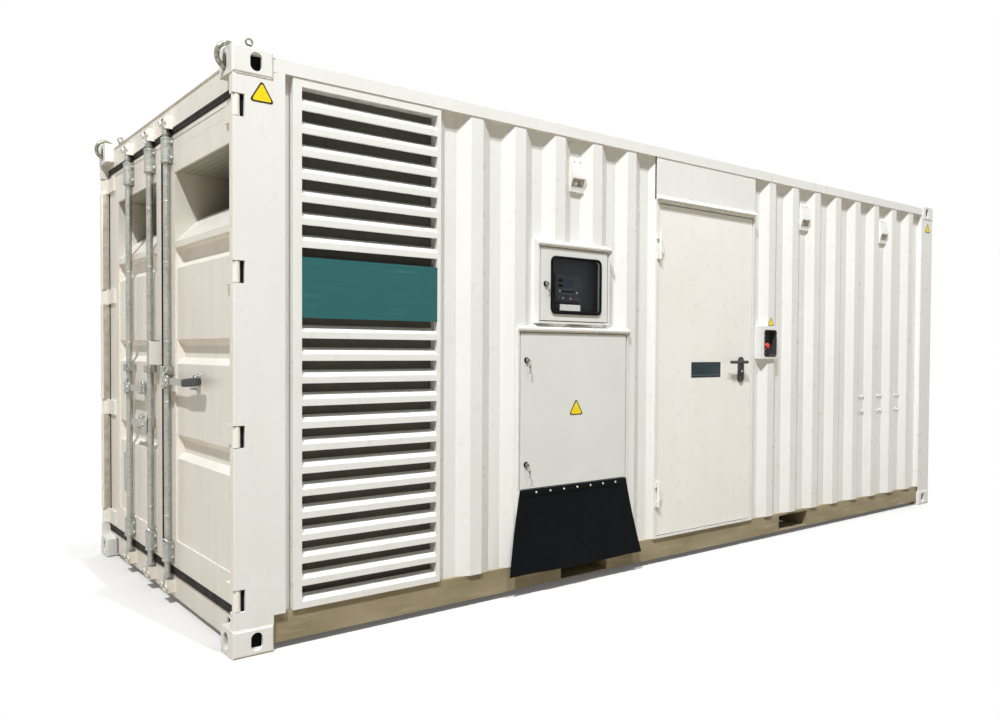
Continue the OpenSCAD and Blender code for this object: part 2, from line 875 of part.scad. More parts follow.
// A cabinet door with its round hinge edge on the right, bored for the pins
module cabinet_door(x, w, z, h) {
    r = cabinet_t / 2;
    difference() {
        union() {
            block(x, x + w - r, cabinet_y, cabinet_y + cabinet_t, z, z + h);
            translate([x + w - r, cabinet_y + r, z]) cylinder(h = h, r = r);
        }
        for (p = [z - 1, z + h - door_pin_in - 1]) translate([x + w - r, cabinet_y + r, p])
            cylinder(h = door_pin_in + 2, r = door_pin_r + 0.3);
    }
}

lock_in = 38;
lock_low = 131;
lock_down = 147;

module cabinet_lock(x, z) translate([x, cabinet_y + eps, z]) rotate([90, 0, 0])
    cylinder(h = 8, r = 11);

window_x = control_x + 68;
window_w = 378;
window_z = control_z + 36;
window_h = 320;
window_round = 34;
window_band = 16;
window_out = 7;

// The window's outline as a block from y0 to y1, shrunk by m on each side
module window_block(m, y0, y1) translate([window_x + m, y1, window_z + m])
    rotate([90, 0, 0]) linear_extrude(y1 - y0)
        soft_rectangle(window_w - 2 * m, window_h - 2 * m, window_round - m);

module control_door() color(grey) place() {
    difference() {
        cabinet_door(control_x, control_w, control_z, control_h);
        window_block(window_band / 2, cabinet_y - 1, cabinet_y + cabinet_t + 1);
    }
    cabinet_lock(control_x + lock_in - 4, control_z + control_h / 2);
}

module control_window() color(black) place() difference() {
    window_block(0, cabinet_y - window_out, cabinet_y);
    window_block(window_band, cabinet_y - window_out - 1, cabinet_y + 1);
}

module control_glass() color(black) place()
    window_block(window_band, cabinet_y - window_out + 2, cabinet_y - window_out + 6);

module power_door() color(grey) place() {
    cabinet_door(power_x, power_w, power_z, power_h);
    for (z = [power_z + lock_low, power_z + power_h - lock_down])
        cabinet_lock(power_x + lock_in, z);
}

// Rubber skirt, a curve that swings out towards the bottom
skirt_top = power_z - 6;
skirt_steps = 8;

function skirt_y(t) = cabinet_front - skirt_out * pow(t, 1.6);

module cable_skirt() color(black) place() {
    h = skirt_top - skirt_z;
    wide = power_w / 2 + skirt_flare;
    intersection() {
        along_x(power_x - skirt_flare - 1, power_x + power_w + skirt_flare + 1)
            polygon(concat(
                [for (i = [0:skirt_steps]) let (t = i / skirt_steps)
                    [skirt_y(t), skirt_top - t * h]],
                [for (i = [skirt_steps:-1:0]) let (t = i / skirt_steps)
                    [skirt_y(t) - skirt_t, skirt_top - t * h]]));
        along_y(cabinet_front - skirt_out - skirt_t - 1, cabinet_front + 1)
            polygon([[power_x, skirt_top + 1], [power_x + power_w, skirt_top + 1],
                [power_x + power_w + skirt_flare, skirt_z - 1],
                [power_x - skirt_flare, skirt_z - 1]]);
    }
}

// ---------- Stop box and wall brackets ----------

stop_front = -6;
stop_back = lining_y - 1;
recess_in = 39;
recess_w = 144;
recess_h = 188;
recess_round = 22;
recess_t = 6;

module recess_block(m, y0, y1)
    translate([stop_x + recess_in + m, y1, stop_z + (stop_h - recess_h) / 2 - 5 + m])
        rotate([90, 0, 0]) linear_extrude(y1 - y0)
            soft_rectangle(recess_w - 2 * m, recess_h - 2 * m, recess_round - m);

module stop_block() block(stop_x, stop_x + stop_w, stop_front, stop_back,
    stop_z, stop_z + stop_h);

module stop_box() color(white) place() difference() {
    stop_block();
    recess_block(0, stop_front - 1, stop_back - shell_t);
}

collar_h = 12;
collar_r = 16;
stem_r = 11;

module stop_panel() color(black) place() {
    difference() {
        recess_block(0, stop_front - 2, stop_back - shell_t);
        recess_block(recess_t, stop_front - 3, stop_back - 2 * shell_t);
    }
    translate([stop_button_x, stop_button_y + eps, stop_button_z]) rotate([90, 0, 0])
        difference() {
            cylinder(h = collar_h, r = collar_r);
            translate([0, 0, -1]) cylinder(h = collar_h + 2, r = stem_r + 0.3);
        }
}

stop_button_x = stop_x + recess_in + recess_w / 2;
stop_button_z = stop_z + 90;
stop_button_y = stop_back - 2 * shell_t;
stop_button_r = 20;

module stop_button() color("red") place()
    translate([stop_button_x, stop_button_y - 1 - stop_travel, stop_button_z])
        rotate([90, 0, 0]) {
            cylinder(h = collar_h + 3, r = stem_r);
            translate([0, 0, collar_h + 2]) rotate_extrude() polygon([
                [0, 0], [stop_button_r - 2, 0], [stop_button_r, 3], [stop_button_r, 7],
                [stop_button_r - 3, 12], [stop_button_r - 9, 15], [0, 17]]);
        }

bracket_w = 96;
bracket_places = [for (k = [2, 10, 14]) wave_start + (k + 0.5) * wave_pitch];

module wall_bracket(x) difference() {
    y1 = wall_inset + wave_depth;
    along_x(x - bracket_w / 2, x + bracket_w / 2) polygon([
        [y1, bracket_z], [y1 - 34, bracket_z], [y1 - 34, bracket_z + 12],
        [y1 - 8, bracket_z + 40], [y1 - 30, bracket_z + 120],
        [y1 - 14, bracket_z + bracket_h], [y1, bracket_z + bracket_h]]);
    translate([0, wall_inset, bracket_z - 1]) linear_extrude(bracket_h + 2)
        wave_profile(x - bracket_w, x + bracket_w, wave_start, wave_depth + sheet);
}

module wall_brackets() color(white) place() for (x = bracket_places) wall_bracket(x);

// ---------- Cargo doors ----------

leaf_near_y = leaf_side;
leaf_far_y = mid_y + seam_gap / 2;
hood_t = 3;
leaf_rail = 140;
vent_lip = 30;
vent_top = vent_z + vent_h;

function panel_y0(y) = y + stile_near;
function panel_y1(y) = y + leaf_w - stile_far;

// Space of one pressed groove, sloping on all four sides
module groove(y, z) {
    x0 = leaf_x + panel_drop;
    f = groove_flank;
    a = panel_y0(y);
    b = panel_y1(y);
    intersection() {
        along_y(a - 1, b + 1) polygon([
            [leaf_x - 2, z], [x0, z], [x0 + groove_depth, z + f],
            [x0 + groove_depth, z + groove_h - f], [x0, z + groove_h],
            [leaf_x - 2, z + groove_h]]);
        translate([0, 0, z - 1]) linear_extrude(groove_h + 2) polygon([
            [leaf_x - 1, a], [x0, a], [x0 + groove_depth, a + f],
            [x0 + groove_depth, b - f], [x0, b], [leaf_x - 1, b]]);
    }
}

// Leaf of a cargo door that starts at y
module cargo_leaf(y) {
    a = panel_y0(y);
    b = panel_y1(y);
    difference() {
        block(leaf_x, leaf_back, y, y + leaf_w, leaf_z, leaf_top);
        block(leaf_x - 1, leaf_x + panel_drop, a, b, leaf_z + leaf_rail, vent_z - vent_lip);
        difference() {
            for (k = [0:2]) groove(y, groove_z + k * groove_pitch);
            block(leaf_x - 9, leaf_back, a - 1, b + 1, vent_z - vent_lip, vent_z + 200);
        }
        block(leaf_x - 1, leaf_back + 1, a - hood_t, b + hood_t,
            vent_z - hood_t, vent_top + hood_t);
    }
}

blade_h = 88;
blade_reach = 200;
blade_lip = 12;

// Hinge knuckles and blades of a leaf on the near side
module hinge_blades() for (z = hinge_levels) translate([0, 0, z - blade_h / 2]) difference() {
    union() {
        translate([pin_inset, pin_inset, 0]) cylinder(h = blade_h, r = knuckle_r);
        linear_extrude(blade_h) polygon([
            [pin_inset + 4, pin_inset], [pin_inset + knuckle_r, pin_inset],
            [leaf_x, leaf_side - 8], [leaf_x, blade_reach],
            [leaf_x - blade_lip, blade_reach], [leaf_x - blade_lip, leaf_side + 10],
            [pin_inset + 4, pin_inset + knuckle_r - 3]]);
    }
    translate([pin_inset, pin_inset, -1]) cylinder(h = blade_h + 2, r = pin_r + 0.4);
}

module near_cargo_door() color(cream) place() {
    cargo_leaf(leaf_near_y);
    hinge_blades();
}

lock_box_w = 74;
lock_box_z = 1230;
lock_box_h = 124;

module far_cargo_door() color(cream) place() {
    cargo_leaf(leaf_far_y);
    far_side() hinge_blades();
    difference() {
        block(5, leaf_x + eps, leaf_far_y + 2, leaf_far_y + 2 + lock_box_w,
            lock_box_z, lock_box_z + lock_box_h);
        block(10, leaf_x - 5, leaf_far_y + 7, leaf_far_y - 3 + lock_box_w,
            lock_box_z - 1, lock_box_z + lock_box_h - 5);
    }
}

module discharge_hood(y) {
    a = panel_y0(y);
    b = panel_y1(y);
    difference() {
        block(leaf_x, leaf_x + hood_depth, a - hood_t, b + hood_t,
            vent_z - hood_t, vent_top + hood_t);
        block(leaf_x - 1, leaf_x + hood_depth + 1, a, b, vent_z, vent_top);
    }
    along_y(a - eps, b + eps) polygon([[leaf_x, vent_z - eps],
        [leaf_x + sill_run, vent_z + sill_rise], [leaf_x + sill_run, vent_z - eps]]);
}

module near_discharge_hood() color(cream) place() discharge_hood(leaf_near_y);

module far_discharge_hood() color(cream) place() discharge_hood(leaf_far_y);

gasket_x = leaf_x + 12;
gasket_up = 22;
gasket_down = 28;
gasket_side = 4;

// Rubber seal around a leaf on the near side; seam adds the strip at the free edge
module gasket(seam) {
    y1 = leaf_near_y + leaf_w;
    block(gasket_x, leaf_back - 2, leaf_near_y, y1, leaf_top, leaf_top + gasket_up);
    block(gasket_x, leaf_back - 2, leaf_near_y, y1, leaf_z - gasket_down, leaf_z);
    block(gasket_x, leaf_back - 2, leaf_near_y - gasket_side, leaf_near_y,
        leaf_z - gasket_down, leaf_top + gasket_up);
    if (seam) block(gasket_x, leaf_back - 2, y1, y1 + gasket_side,
        leaf_z - gasket_down, leaf_top + gasket_up);
}

module near_door_gasket() color(black) place() gasket(false);

module far_door_gasket() color(black) place() far_side() gasket(true);

// ---------- Locking gear ----------

guide_r = rod_r + 10;
guide_wide = 92;

// A guide that holds a rod against the leaf between z0 and z1; drop is the depth
// of the panel that it stands on
module rod_guide(y, z0, z1, drop = 0) difference() {
    union() {
        translate([rod_x, y, z0]) cylinder(h = z1 - z0, r = guide_r);
        block(leaf_x - 6, leaf_x + drop, y - guide_wide / 2, y + guide_wide / 2, z0, z1);
    }
    block(leaf_x + drop, leaf_x + 50, y - 80, y + 80, z0 - 1, z1 + 1);
    translate([rod_x, y, z0 - 1]) cylinder(h = z1 - z0 + 2, r = rod_r + rod_clear);
}

module rod_guides(y, drop) {
    rod_guide(y, leaf_z - 18, leaf_z + 138);
    rod_guide(y, handle_z + 26, handle_z + 68, drop);
    rod_guide(y, leaf_top - 118, leaf_top + 12);
}

module near_rod_guides() color(zinc) place() rod_guides(rod_near, 0);

module far_rod_guides() color(zinc) place()
    for (y = [rod_inner, rod_outer]) rod_guides(y, panel_drop);

cam_low = 84;
cam_h = 28;
cam_high = header_z + 34;
hub_r = 20;

// A cam at z with its nose towards side s
module cam(y, z, s) {
    translate([rod_x, y, z - 6]) cylinder(h = cam_h + 12, r = hub_r);
    translate([rod_x - 11, min(y, y + s * cam_reach), z]) cube([22, cam_reach, cam_h]);
}

module lock_rod(y, s) {
    translate([rod_x, y, cam_low]) cylinder(h = cam_high + cam_h - cam_low, r = rod_r);
    cam(y, cam_low, s);
    cam(y, cam_high, s);
}

arm_x = 10;
arm_t = 10;
arm_h = 34;

// A handle at z reaching l towards side s
module handle(y, z, l, s) {
    translate([rod_x, y, z - 26]) cylinder(h = 52, r = hub_r);
    translate([arm_x, min(y, y + s * l), z - arm_h / 2]) cube([arm_t, l, arm_h]);
}

grip_l = 250;

module near_lock_rod() color(zinc) place() {
    lock_rod(rod_near, -1);
    handle(rod_near, handle_z - 8, handle_l, -1);
}

module near_handle_grip() color(black) place() difference() {
    block(arm_x - 6, arm_x + arm_t + 6, rod_near - handle_l - 8,
        rod_near - handle_l + grip_l, handle_z - 30, handle_z + 14);
    block(arm_x, arm_x + arm_t, rod_near - handle_l, rod_near,
        handle_z - 8 - arm_h / 2, handle_z - 8 + arm_h / 2);
}

far_handle_l = 330;
outer_handle_z = 1090;
inner_handle_z = 895;

module far_inner_lock_rod() color(zinc) place() {
    lock_rod(rod_inner, 1);
    handle(rod_inner, inner_handle_z, far_handle_l, 1);
}

module far_outer_lock_rod() color(zinc) place() {
    lock_rod(rod_outer, -1);
    handle(rod_outer, outer_handle_z, far_handle_l, -1);
}

keeper_t = 8;
keeper_h = 58;
keeper_x = 6;

// A keeper open towards the door end, with its shelf below; s is the nose's side
module keeper(y, z, s) {
    wide = cam_reach + cam_clear;
    narrow = hub_r + cam_clear;
    a = y - (s < 0 ? wide : narrow);
    b = y + (s < 0 ? narrow : wide);
    for (c = [a - keeper_t, b])
        block(keeper_x, sill_x, c, c + keeper_t, z, z + keeper_h);
    block(keeper_x + 4, sill_x, a - keeper_t, b + keeper_t, z - keeper_t, z + eps);
}

keeper_low = cam_low - 18;
keeper_high = cam_high + cam_h + 18;

module cam_keepers() color(cream) place()
    for (r = [[rod_near, -1], [rod_inner, 1], [rod_outer, -1]]) {
        keeper(r[0], keeper_low, r[1]);
        translate([0, 0, keeper_high]) mirror([0, 0, 1]) keeper(r[0], 0, r[1]);
    }

// ---------- Shackles ----------

ring_r = 58;
ring_x = 8;
ring_z = height + 4;

module shackle() {
    translate([ring_x, lock_y, ring_z]) rotate([90, 0, 0])
        rotate_extrude($fn = 28) translate([ring_r, 0]) circle(shackle_r, $fn = 12);
}

module lifting_shackles() color(zinc) place() both_sides() shackle();

bottom_castings();
top_castings();
door_end_posts();
front_posts();
bottom_side_rails();
cross_members();
fork_pockets();
floor_plate();
door_sill();
door_header();
front_rails();
top_side_rails();
roof_sheet();
near_wall_middle();
near_wall_front();
far_wall();
front_wall();
side_linings();
roof_lining();
front_lining();
near_louvre();
far_louvre();
louvre_screens();
band_plate();
service_door_frame();
service_door_cover();
control_cabinet();
controller();
power_cabinet();
cable_skirt();
stop_box();
stop_button();
wall_brackets();
cam_keepers();
lifting_shackles();
near_cargo_door();
near_discharge_hood();
near_door_gasket();
near_rod_guides();
far_cargo_door();
far_discharge_hood();
far_door_gasket();
far_rod_guides();
near_lock_rod();
near_handle_grip();
far_inner_lock_rod();
far_outer_lock_rod();
service_door();
service_lever();
lock_plate();
stop_panel();
control_door();
control_window();
control_glass();
power_door();
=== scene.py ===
"""Dresses a containerised generator set: finishes, fittings, stage, lamps and camera."""

import json
import math

import bmesh
import bpy
import numpy as np
from bpy.props import FloatProperty, FloatVectorProperty, PointerProperty
from mathutils import Matrix, Vector


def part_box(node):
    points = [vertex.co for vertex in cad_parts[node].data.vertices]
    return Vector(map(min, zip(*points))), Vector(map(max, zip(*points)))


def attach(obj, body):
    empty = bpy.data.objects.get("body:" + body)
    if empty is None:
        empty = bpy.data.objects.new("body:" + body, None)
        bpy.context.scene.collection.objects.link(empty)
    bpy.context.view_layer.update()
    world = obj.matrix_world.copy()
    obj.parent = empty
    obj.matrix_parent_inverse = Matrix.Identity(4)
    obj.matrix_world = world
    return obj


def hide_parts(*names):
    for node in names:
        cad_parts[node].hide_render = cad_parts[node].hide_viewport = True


bl_info = {
    "name": "Container generator set",
    "version": (1, 0, 0),
    "blender": (4, 5, 0),
    "location": "3D View > Sidebar > Generator set",
    "description": "Finishes and fits out a containerised generator set",
    "category": "Object",
}

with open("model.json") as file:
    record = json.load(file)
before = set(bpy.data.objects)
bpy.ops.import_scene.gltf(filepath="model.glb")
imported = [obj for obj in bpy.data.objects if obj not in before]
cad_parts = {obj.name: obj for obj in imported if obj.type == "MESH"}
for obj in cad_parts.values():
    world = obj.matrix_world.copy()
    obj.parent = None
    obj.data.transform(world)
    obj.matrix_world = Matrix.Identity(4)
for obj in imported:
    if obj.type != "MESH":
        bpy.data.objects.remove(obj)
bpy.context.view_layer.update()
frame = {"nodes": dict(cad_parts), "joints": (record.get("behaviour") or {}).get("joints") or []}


# ---------------------------------------------------------------- places, in millimetres
def low(node):
    """Lowest corner of a node, in millimetres."""
    return np.array(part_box(node)[0]) * 1000


def high(node):
    """Highest corner of a node, in millimetres."""
    return np.array(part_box(node)[1]) * 1000


def middle(node):
    """Middle of a node's box, in millimetres."""
    return (low(node) + high(node)) / 2


def joint_at(body):
    """Where a body's joint lies, in millimetres."""
    return np.array(next(j for j in frame["joints"] if j["child"] == body)["pos_m"]) * 1000


BASE = low("bottom_castings")
TOP = high("top_castings")
# Front of the cargo leaves' frames, behind the castings' front.
LEAF_X = BASE[0] + 50
# Length, width and height of a corner casting.
CASTING = (178, 162, 118)
# Middle of a casting's side and end holes above its foot, or under its head.
HOLE_Z = 61
# Start of the side walls' corrugation, and the length of one wave.
WAVE_X = BASE[0] + 1241
WAVE = 278


# ---------------------------------------------------------------- surfaces on grids
def grid_faces(rows, cols, ring=False):
    """Quads between neighbours of a rows x cols grid of points; ring joins the last column
    to the first."""
    i, j = np.meshgrid(np.arange(rows - 1), np.arange(cols if ring else cols - 1), indexing="ij")
    k = (j + 1) % cols
    return np.stack([i * cols + j, i * cols + k, (i + 1) * cols + k, (i + 1) * cols + j], -1).reshape(-1, 4)


def loft(rings):
    """Skin through closed rings of points: row r of the grid is ring r, and the two end rings
    are filled."""
    rings = np.asarray(rings, float)
    n, m = rings.shape[:2]
    faces = grid_faces(n, m, True).tolist()
    faces += [list(range(m))[::-1], list(range((n - 1) * m, n * m))]
    return rings.reshape(-1, 3), faces


def looped(rows):
    """Skin through a grid of points whose rows and columns both run back into themselves."""
    n, m = rows.shape[:2]
    return rows.reshape(-1, 3), (grid_faces(n + 1, m, True) % (n * m)).tolist()


def full_turn(steps):
    """Equal angles round a full turn, without the last, which is the first again."""
    return np.linspace(0, 2 * math.pi, steps + 1)[:-1]


def rounded(wide, tall, radius, steps=5):
    """Rounded rectangle round the origin: each corner's centre plus radius times the cosine and
    sine of a quarter turn."""
    radius = min(radius, wide / 2 - 1e-3, tall / 2 - 1e-3)
    turn = np.linspace(0, math.pi / 2, steps)
    corner = np.arange(4)[:, None] * math.pi / 2 + turn
    sx = np.array([1, -1, -1, 1])[:, None] * (wide / 2 - radius)
    sy = np.array([1, 1, -1, -1])[:, None] * (tall / 2 - radius)
    return np.stack([(sx + radius * np.cos(corner)).ravel(), (sy + radius * np.sin(corner)).ravel()], -1)


def circle(radius, steps=24):
    """Regular polygon: radius times the cosine and sine of equal turns."""
    a = np.arange(steps) * 2 * math.pi / steps
    return radius * np.stack([np.cos(a), np.sin(a)], -1)


def lifted(outline, z):
    """An outline of two coordinates raised to height z."""
    return np.c_[outline, np.full(len(outline), float(z))]


def slab(wide, tall, thick, radius=3.0, edge=1.0):
    """Plate from z = 0 to thick: its outline shrinks by edge times one minus the cosine of a
    quarter turn while it rises by edge times the sine, so the front rim is round."""
    rows = [lifted(rounded(wide, tall, radius), 0)]
    for t in np.linspace(0, math.pi / 2, 4):
        cut = edge * (1 - math.cos(t))
        outline = rounded(wide - 2 * cut, tall - 2 * cut, max(radius - cut, 0.2))
        rows.append(lifted(outline, thick - edge + edge * math.sin(t)))
    return loft(rows)


def spun(profile, steps):
    """Grid of points of a turned profile: each (radius, height) goes round the z axis, as the
    radius times the unit circle at that height."""
    profile = np.asarray(profile, float)[:, None]
    heights = np.broadcast_to(profile[..., 1:], (len(profile), steps, 1))
    return np.concatenate([profile[..., :1] * circle(1.0, steps), heights], -1)


def turned(profile, steps=24):
    """Solid of revolution, closed by a disc at each end of its profile."""
    return loft(spun(profile, steps))


def ringed(profile, steps=24):
    """Ring: a closed profile of (radius, height) turned round the z axis."""
    return looped(spun(profile, steps).swapaxes(0, 1))


def swept(path, outline, closed=False, scale=None):
    """Outline carried along a path: each point of the path carries a frame that turns with the
    path's direction, kept from twisting by projecting the frame before it."""
    path, outline = np.asarray(path, float), np.asarray(outline, float)
    way = np.gradient(path, axis=0)
    if closed:
        way = np.roll(path, -1, 0) - np.roll(path, 1, 0)
    way /= np.linalg.norm(way, axis=1)[:, None]
    side = np.cross(way[0], [0.0, 0.0, 1.0])
    if np.linalg.norm(side) < 0.1:
        side = np.cross(way[0], [0.0, 1.0, 0.0])
    sides = []
    for d in way:
        side = side - d * side.dot(d)
        side = side / np.linalg.norm(side)
        sides.append(side)
    sides = np.array(sides)
    ups = np.cross(sides, way)
    size = np.ones(len(path)) if scale is None else np.asarray(scale, float)
    across = outline[None, :, :1] * sides[:, None] + outline[None, :, 1:] * ups[:, None]
    rows = path[:, None] + size[:, None, None] * across
    return looped(rows) if closed else loft(rows)


def arc(centre, radius, start, stop, steps, u=(1, 0, 0), v=(0, 0, 1)):
    """Points on part of a circle in the plane of u and v."""
    a = np.linspace(start, stop, steps)[:, None]
    reach = np.cos(a) * np.array(u, float) + np.sin(a) * np.array(v, float)
    return np.asarray(centre, float) + radius * reach


def placed(part, at=(0, 0, 0), x=(1, 0, 0), y=(0, 1, 0)):
    """A part with its x and y axes laid along two given directions and its origin at a place."""
    x, y = np.array(x, float), np.array(y, float)
    turn = np.stack([x, y, np.cross(x, y)])
    return part[0] @ turn + np.asarray(at, float), part[1]


def on_side(part, at):
    """A part whose z faces out of the cabinets' side, along -Y."""
    return placed(part, at, (1, 0, 0), (0, 0, 1))


def on_end(part, at):
    """A part whose z faces out of the door end, along -X."""
    return placed(part, at, (0, -1, 0), (0, 0, 1))


def joined(*parts):
    """Several parts as one: points stacked, and each part's faces counted on from the last."""
    points, faces, count = [], [], 0
    for p, f in parts:
        points.append(p)
        faces += [[i + count for i in face] for face in f]
        count += len(p)
    return np.concatenate(points), faces


def piece(name, part, finish, body="container", layers=(), sheet=False):
    """A mesh in metres from a part in millimetres, its faces turned outwards and smooth across
    edges under 40 degrees, with its finish, riding on a body."""
    mesh = bpy.data.meshes.new(name)
    mesh.from_pydata((np.asarray(part[0]) / 1000).tolist(), [], part[1])
    work = bmesh.new()
    work.from_mesh(mesh)
    bmesh.ops.remove_doubles(work, verts=work.verts, dist=2e-6)
    if not sheet:
        bmesh.ops.recalc_face_normals(work, faces=work.faces)
    for f in work.faces:
        f.smooth = True
    for e in work.edges:
        e.smooth = len(e.link_faces) == 2 and e.calc_face_angle(0) < math.radians(40.0)
    work.to_mesh(mesh)
    work.free()
    thing = bpy.data.objects.new(name, mesh)
    bpy.context.scene.collection.objects.link(thing)
    mesh.materials.append(bpy.data.materials[finish])
    for kind, values in layers:
        layer = thing.modifiers.new(kind.title(), kind)
        for key, value in values.items():
            setattr(layer, key, value)
    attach(thing, body)
    return thing


# ---------------------------------------------------------------- shader nodes
def linear(code):
    """An sRGB hex code as the linear colour that the shader takes."""
    c = np.array([int(code[i : i + 2], 16) for i in (1, 3, 5)]) / 255
    return tuple(np.where(c <= 0.04045, c / 12.92, ((c + 0.055) / 1.055) ** 2.4)) + (1.0,)


def opaque(colour):
    """A panel colour with its alpha."""
    return tuple(colour) + (1.0,)


def add(tree, kind, inputs=(), **settings):
    """One node with its settings and inputs; an input is a value or another node's output."""
    node = tree.nodes.new(kind)
    for key, value in settings.items():
        setattr(node, key, value)
    for key, value in dict(inputs).items():
        if isinstance(value, bpy.types.NodeSocket):
            tree.links.new(value, node.inputs[key])
        else:
            node.inputs[key].default_value = value
    return node


def noise(tree, size, detail=3.0, stretch=(1, 1, 1)):
    """Noise whose lumps are about size millimetres wide, stretched along the axes."""
    where = add(tree, "ShaderNodeTexCoord").outputs["Object"]
    scale = [1000 / (size * s) for s in stretch]
    moved = add(tree, "ShaderNodeMapping", {"Vector": where, "Scale": scale}).outputs[0]
    return add(tree, "ShaderNodeTexNoise", {"Vector": moved, "Scale": 1.0, "Detail": detail}).outputs[0]


def axis(tree, name):
    """One object coordinate, in metres."""
    where = add(tree, "ShaderNodeTexCoord").outputs["Object"]
    return add(tree, "ShaderNodeSeparateXYZ", {0: where}).outputs[name]


def spread(tree, value, a, b, c=0.0, d=1.0):
    """A value's stretch from a to b laid over c to d, and held at its ends."""
    ends = {"Value": value, "From Min": a, "From Max": b, "To Min": c, "To Max": d}
    return add(tree, "ShaderNodeMapRange", ends).outputs[0]


def patches(tree, size, detail=3.0, stretch=(1, 1, 1), ends=(0.3, 0.7), to=(0.0, 1.0)):
    """Noise of a size in millimetres, its stretch between two ends laid over two values."""
    return spread(tree, noise(tree, size, detail, stretch), *ends, *to)


def chained(tree, operation, *values):
    """Several values joined by one operation, from left to right."""
    out = values[0]
    for v in values[1:]:
        out = add(tree, "ShaderNodeMath", {0: out, 1: v}, operation=operation).outputs[0]
    return out


def times(tree, *values):
    """Product of several values."""
    return chained(tree, "MULTIPLY", *values)


def blended(tree, factor, a, b):
    """Colour a going over to colour b."""
    return add(tree, "ShaderNodeMix", {0: factor, 6: a, 7: b}, data_type="RGBA").outputs[2]


def raised(tree, *layers):
    """Bumps laid over one another; each is (height, strength, depth in millimetres)."""
    normal = None
    for height, strength, depth in layers:
        inputs = {"Height": height, "Strength": strength, "Distance": depth / 1000}
        if normal is not None:
            inputs["Normal"] = normal
        normal = add(tree, "ShaderNodeBump", inputs).outputs[0]
    return normal


def finish(name):
    """An empty material; returns its tree and its principled shader."""
    material = bpy.data.materials.new(name)
    material.use_nodes = True
    tree = material.node_tree
    return tree, tree.nodes["Principled BSDF"]


def settle(tree, shader, colour, roughness, normal=None, **constants):
    """Joins a worked-out colour, roughness and normal to the shader and sets its constants."""
    for socket, value in (("Base Color", colour), ("Roughness", roughness), ("Normal", normal)):
        if isinstance(value, bpy.types.NodeSocket):
            tree.links.new(value, shader.inputs[socket])
        elif value is not None:
            shader.inputs[socket].default_value = value
    for key, value in constants.items():
        shader.inputs[key.replace("_", " ")].default_value = value


# ---------------------------------------------------------------- finishes
def enamel(name, colour, dirt, grime, gloss, runs=1.0, behind=None, depth=(8, 12)):
    """Sprayed container enamel over steel: orange peel, slow waves in the sheet, thin grime that
    has run down, and a warm tint that thickens towards the ground, which is dust and also
    painted light for the warm light bounced up off the floor. Past a depth in millimetres from
    the door end it can go over to the tone behind."""
    tree, shader = finish(name)
    if behind:
        ends = [(BASE[0] + d) / 1000 for d in depth]
        colour = blended(tree, spread(tree, axis(tree, "X"), *ends), colour, behind)
    cloud = patches(tree, 420, 5, ends=(0.35, 0.75))
    streak = patches(tree, 60, 4, (1, 1, 25), (0.48, 0.8))
    # Warm tint towards the ground: dust, and painted light for the warm bounce off the floor.
    near_ground = spread(tree, axis(tree, "Z"), 0.7, 0.05)
    low_dust_and_bounce = times(tree, near_ground, patches(tree, 160, 6, (1, 1, 1.6), (0.3, 0.8)))
    speck = patches(tree, 7, 2, ends=(0.74, 0.79))
    base = blended(tree, times(tree, cloud, 0.22 * grime), colour, dirt)
    base = blended(tree, times(tree, streak, 0.2 * grime * runs), base, dirt)
    base = blended(tree, times(tree, low_dust_and_bounce, 0.45 * grime), base, dirt)
    base = blended(tree, times(tree, speck, 0.35 * grime), base, linear("#8a7660"))
    rough = patches(tree, 90, 4, to=(gloss - 0.05, gloss + 0.09))
    bump = raised(tree, (noise(tree, 480, 2), 0.35, 9.0), (noise(tree, 3.2, 2), 0.10, 0.12))
    settle(tree, shader, base, rough, bump, IOR=1.5)


def make_enamels(colours):
    """Each coat of enamel on the box: tone, dirt, how grimy and how rough."""
    shell, doors, dust = opaque(colours.shell), opaque(colours.doors), opaque(colours.dust)
    # Shell: bright and half glossy, with faint warm grime.
    enamel("white_enamel", shell, dust, 0.55, 0.30)
    # Service door: a fresher coat.
    enamel("service_enamel", linear("#f1efea"), dust, 0.45, 0.30)
    # Roof: darker than the shell, painted shade that keeps the steep lamps from turning it white, and dull
    # under the dust that lies on it.
    enamel("roof_enamel", linear("#b4b0a6"), dust, 0.9, 0.42)
    # Door end: lighter and creamier than the shell, painted light that makes up for the dimmer lamp light on
    # the door end; more streaked.
    enamel("door_enamel", doors, dust, 0.75, 0.33, 1.6)
    # Door posts: the door end's lighter tone, painted light, on their front alone; the shell's behind it.
    enamel("post_enamel", doors, dust, 0.55, 0.30, 1.0, shell)
    # Discharge hoods: the door end's tone outside, going over to a darker tone deeper inside: painted shade
    # in the hood's recess.
    enamel("hood_enamel", linear("#dfdad0"), dust, 0.75, 0.4, 1.0, linear("#97938a"), (140, 330))


def make_powder_coat(colours):
    """Powder coat of the cabinets' doors: cool grey-white with a fine grain."""
    tree, shader = finish("powder_coat")
    fog = patches(tree, 300, 4)
    coat = blended(tree, times(tree, fog, 0.25), opaque(colours.cabinets), linear("#cfcfc6"))
    grain = raised(tree, (noise(tree, 600, 1), 0.2, 4.0), (noise(tree, 1.6, 2), 0.16, 0.1))
    settle(tree, shader, coat, patches(tree, 60, to=(0.36, 0.46)), grain, IOR=1.5)


def make_underbody_coating(colours):
    """Khaki underbody coating: matte and mottled, with pale scuffs and road dust."""
    tree, shader = finish("underbody_coating")
    mottle = patches(tree, 240, 6, (2.2, 1, 0.7), (0.35, 0.68))
    scuff = patches(tree, 60, 6, (5, 1, 0.6), (0.56, 0.7))
    speck = patches(tree, 9, ends=(0.6, 0.72))
    coat = blended(tree, mottle, opaque(colours.rails), linear("#7f7454"))
    coat = blended(tree, times(tree, scuff, 0.55), coat, linear("#b4aa8e"))
    coat = blended(tree, times(tree, speck, 0.5), coat, linear("#6e6047"))
    bump = raised(tree, (noise(tree, 14, 4), 0.35, 0.5))
    settle(tree, shader, coat, patches(tree, 40, to=(0.55, 0.8)), bump, IOR=1.48)


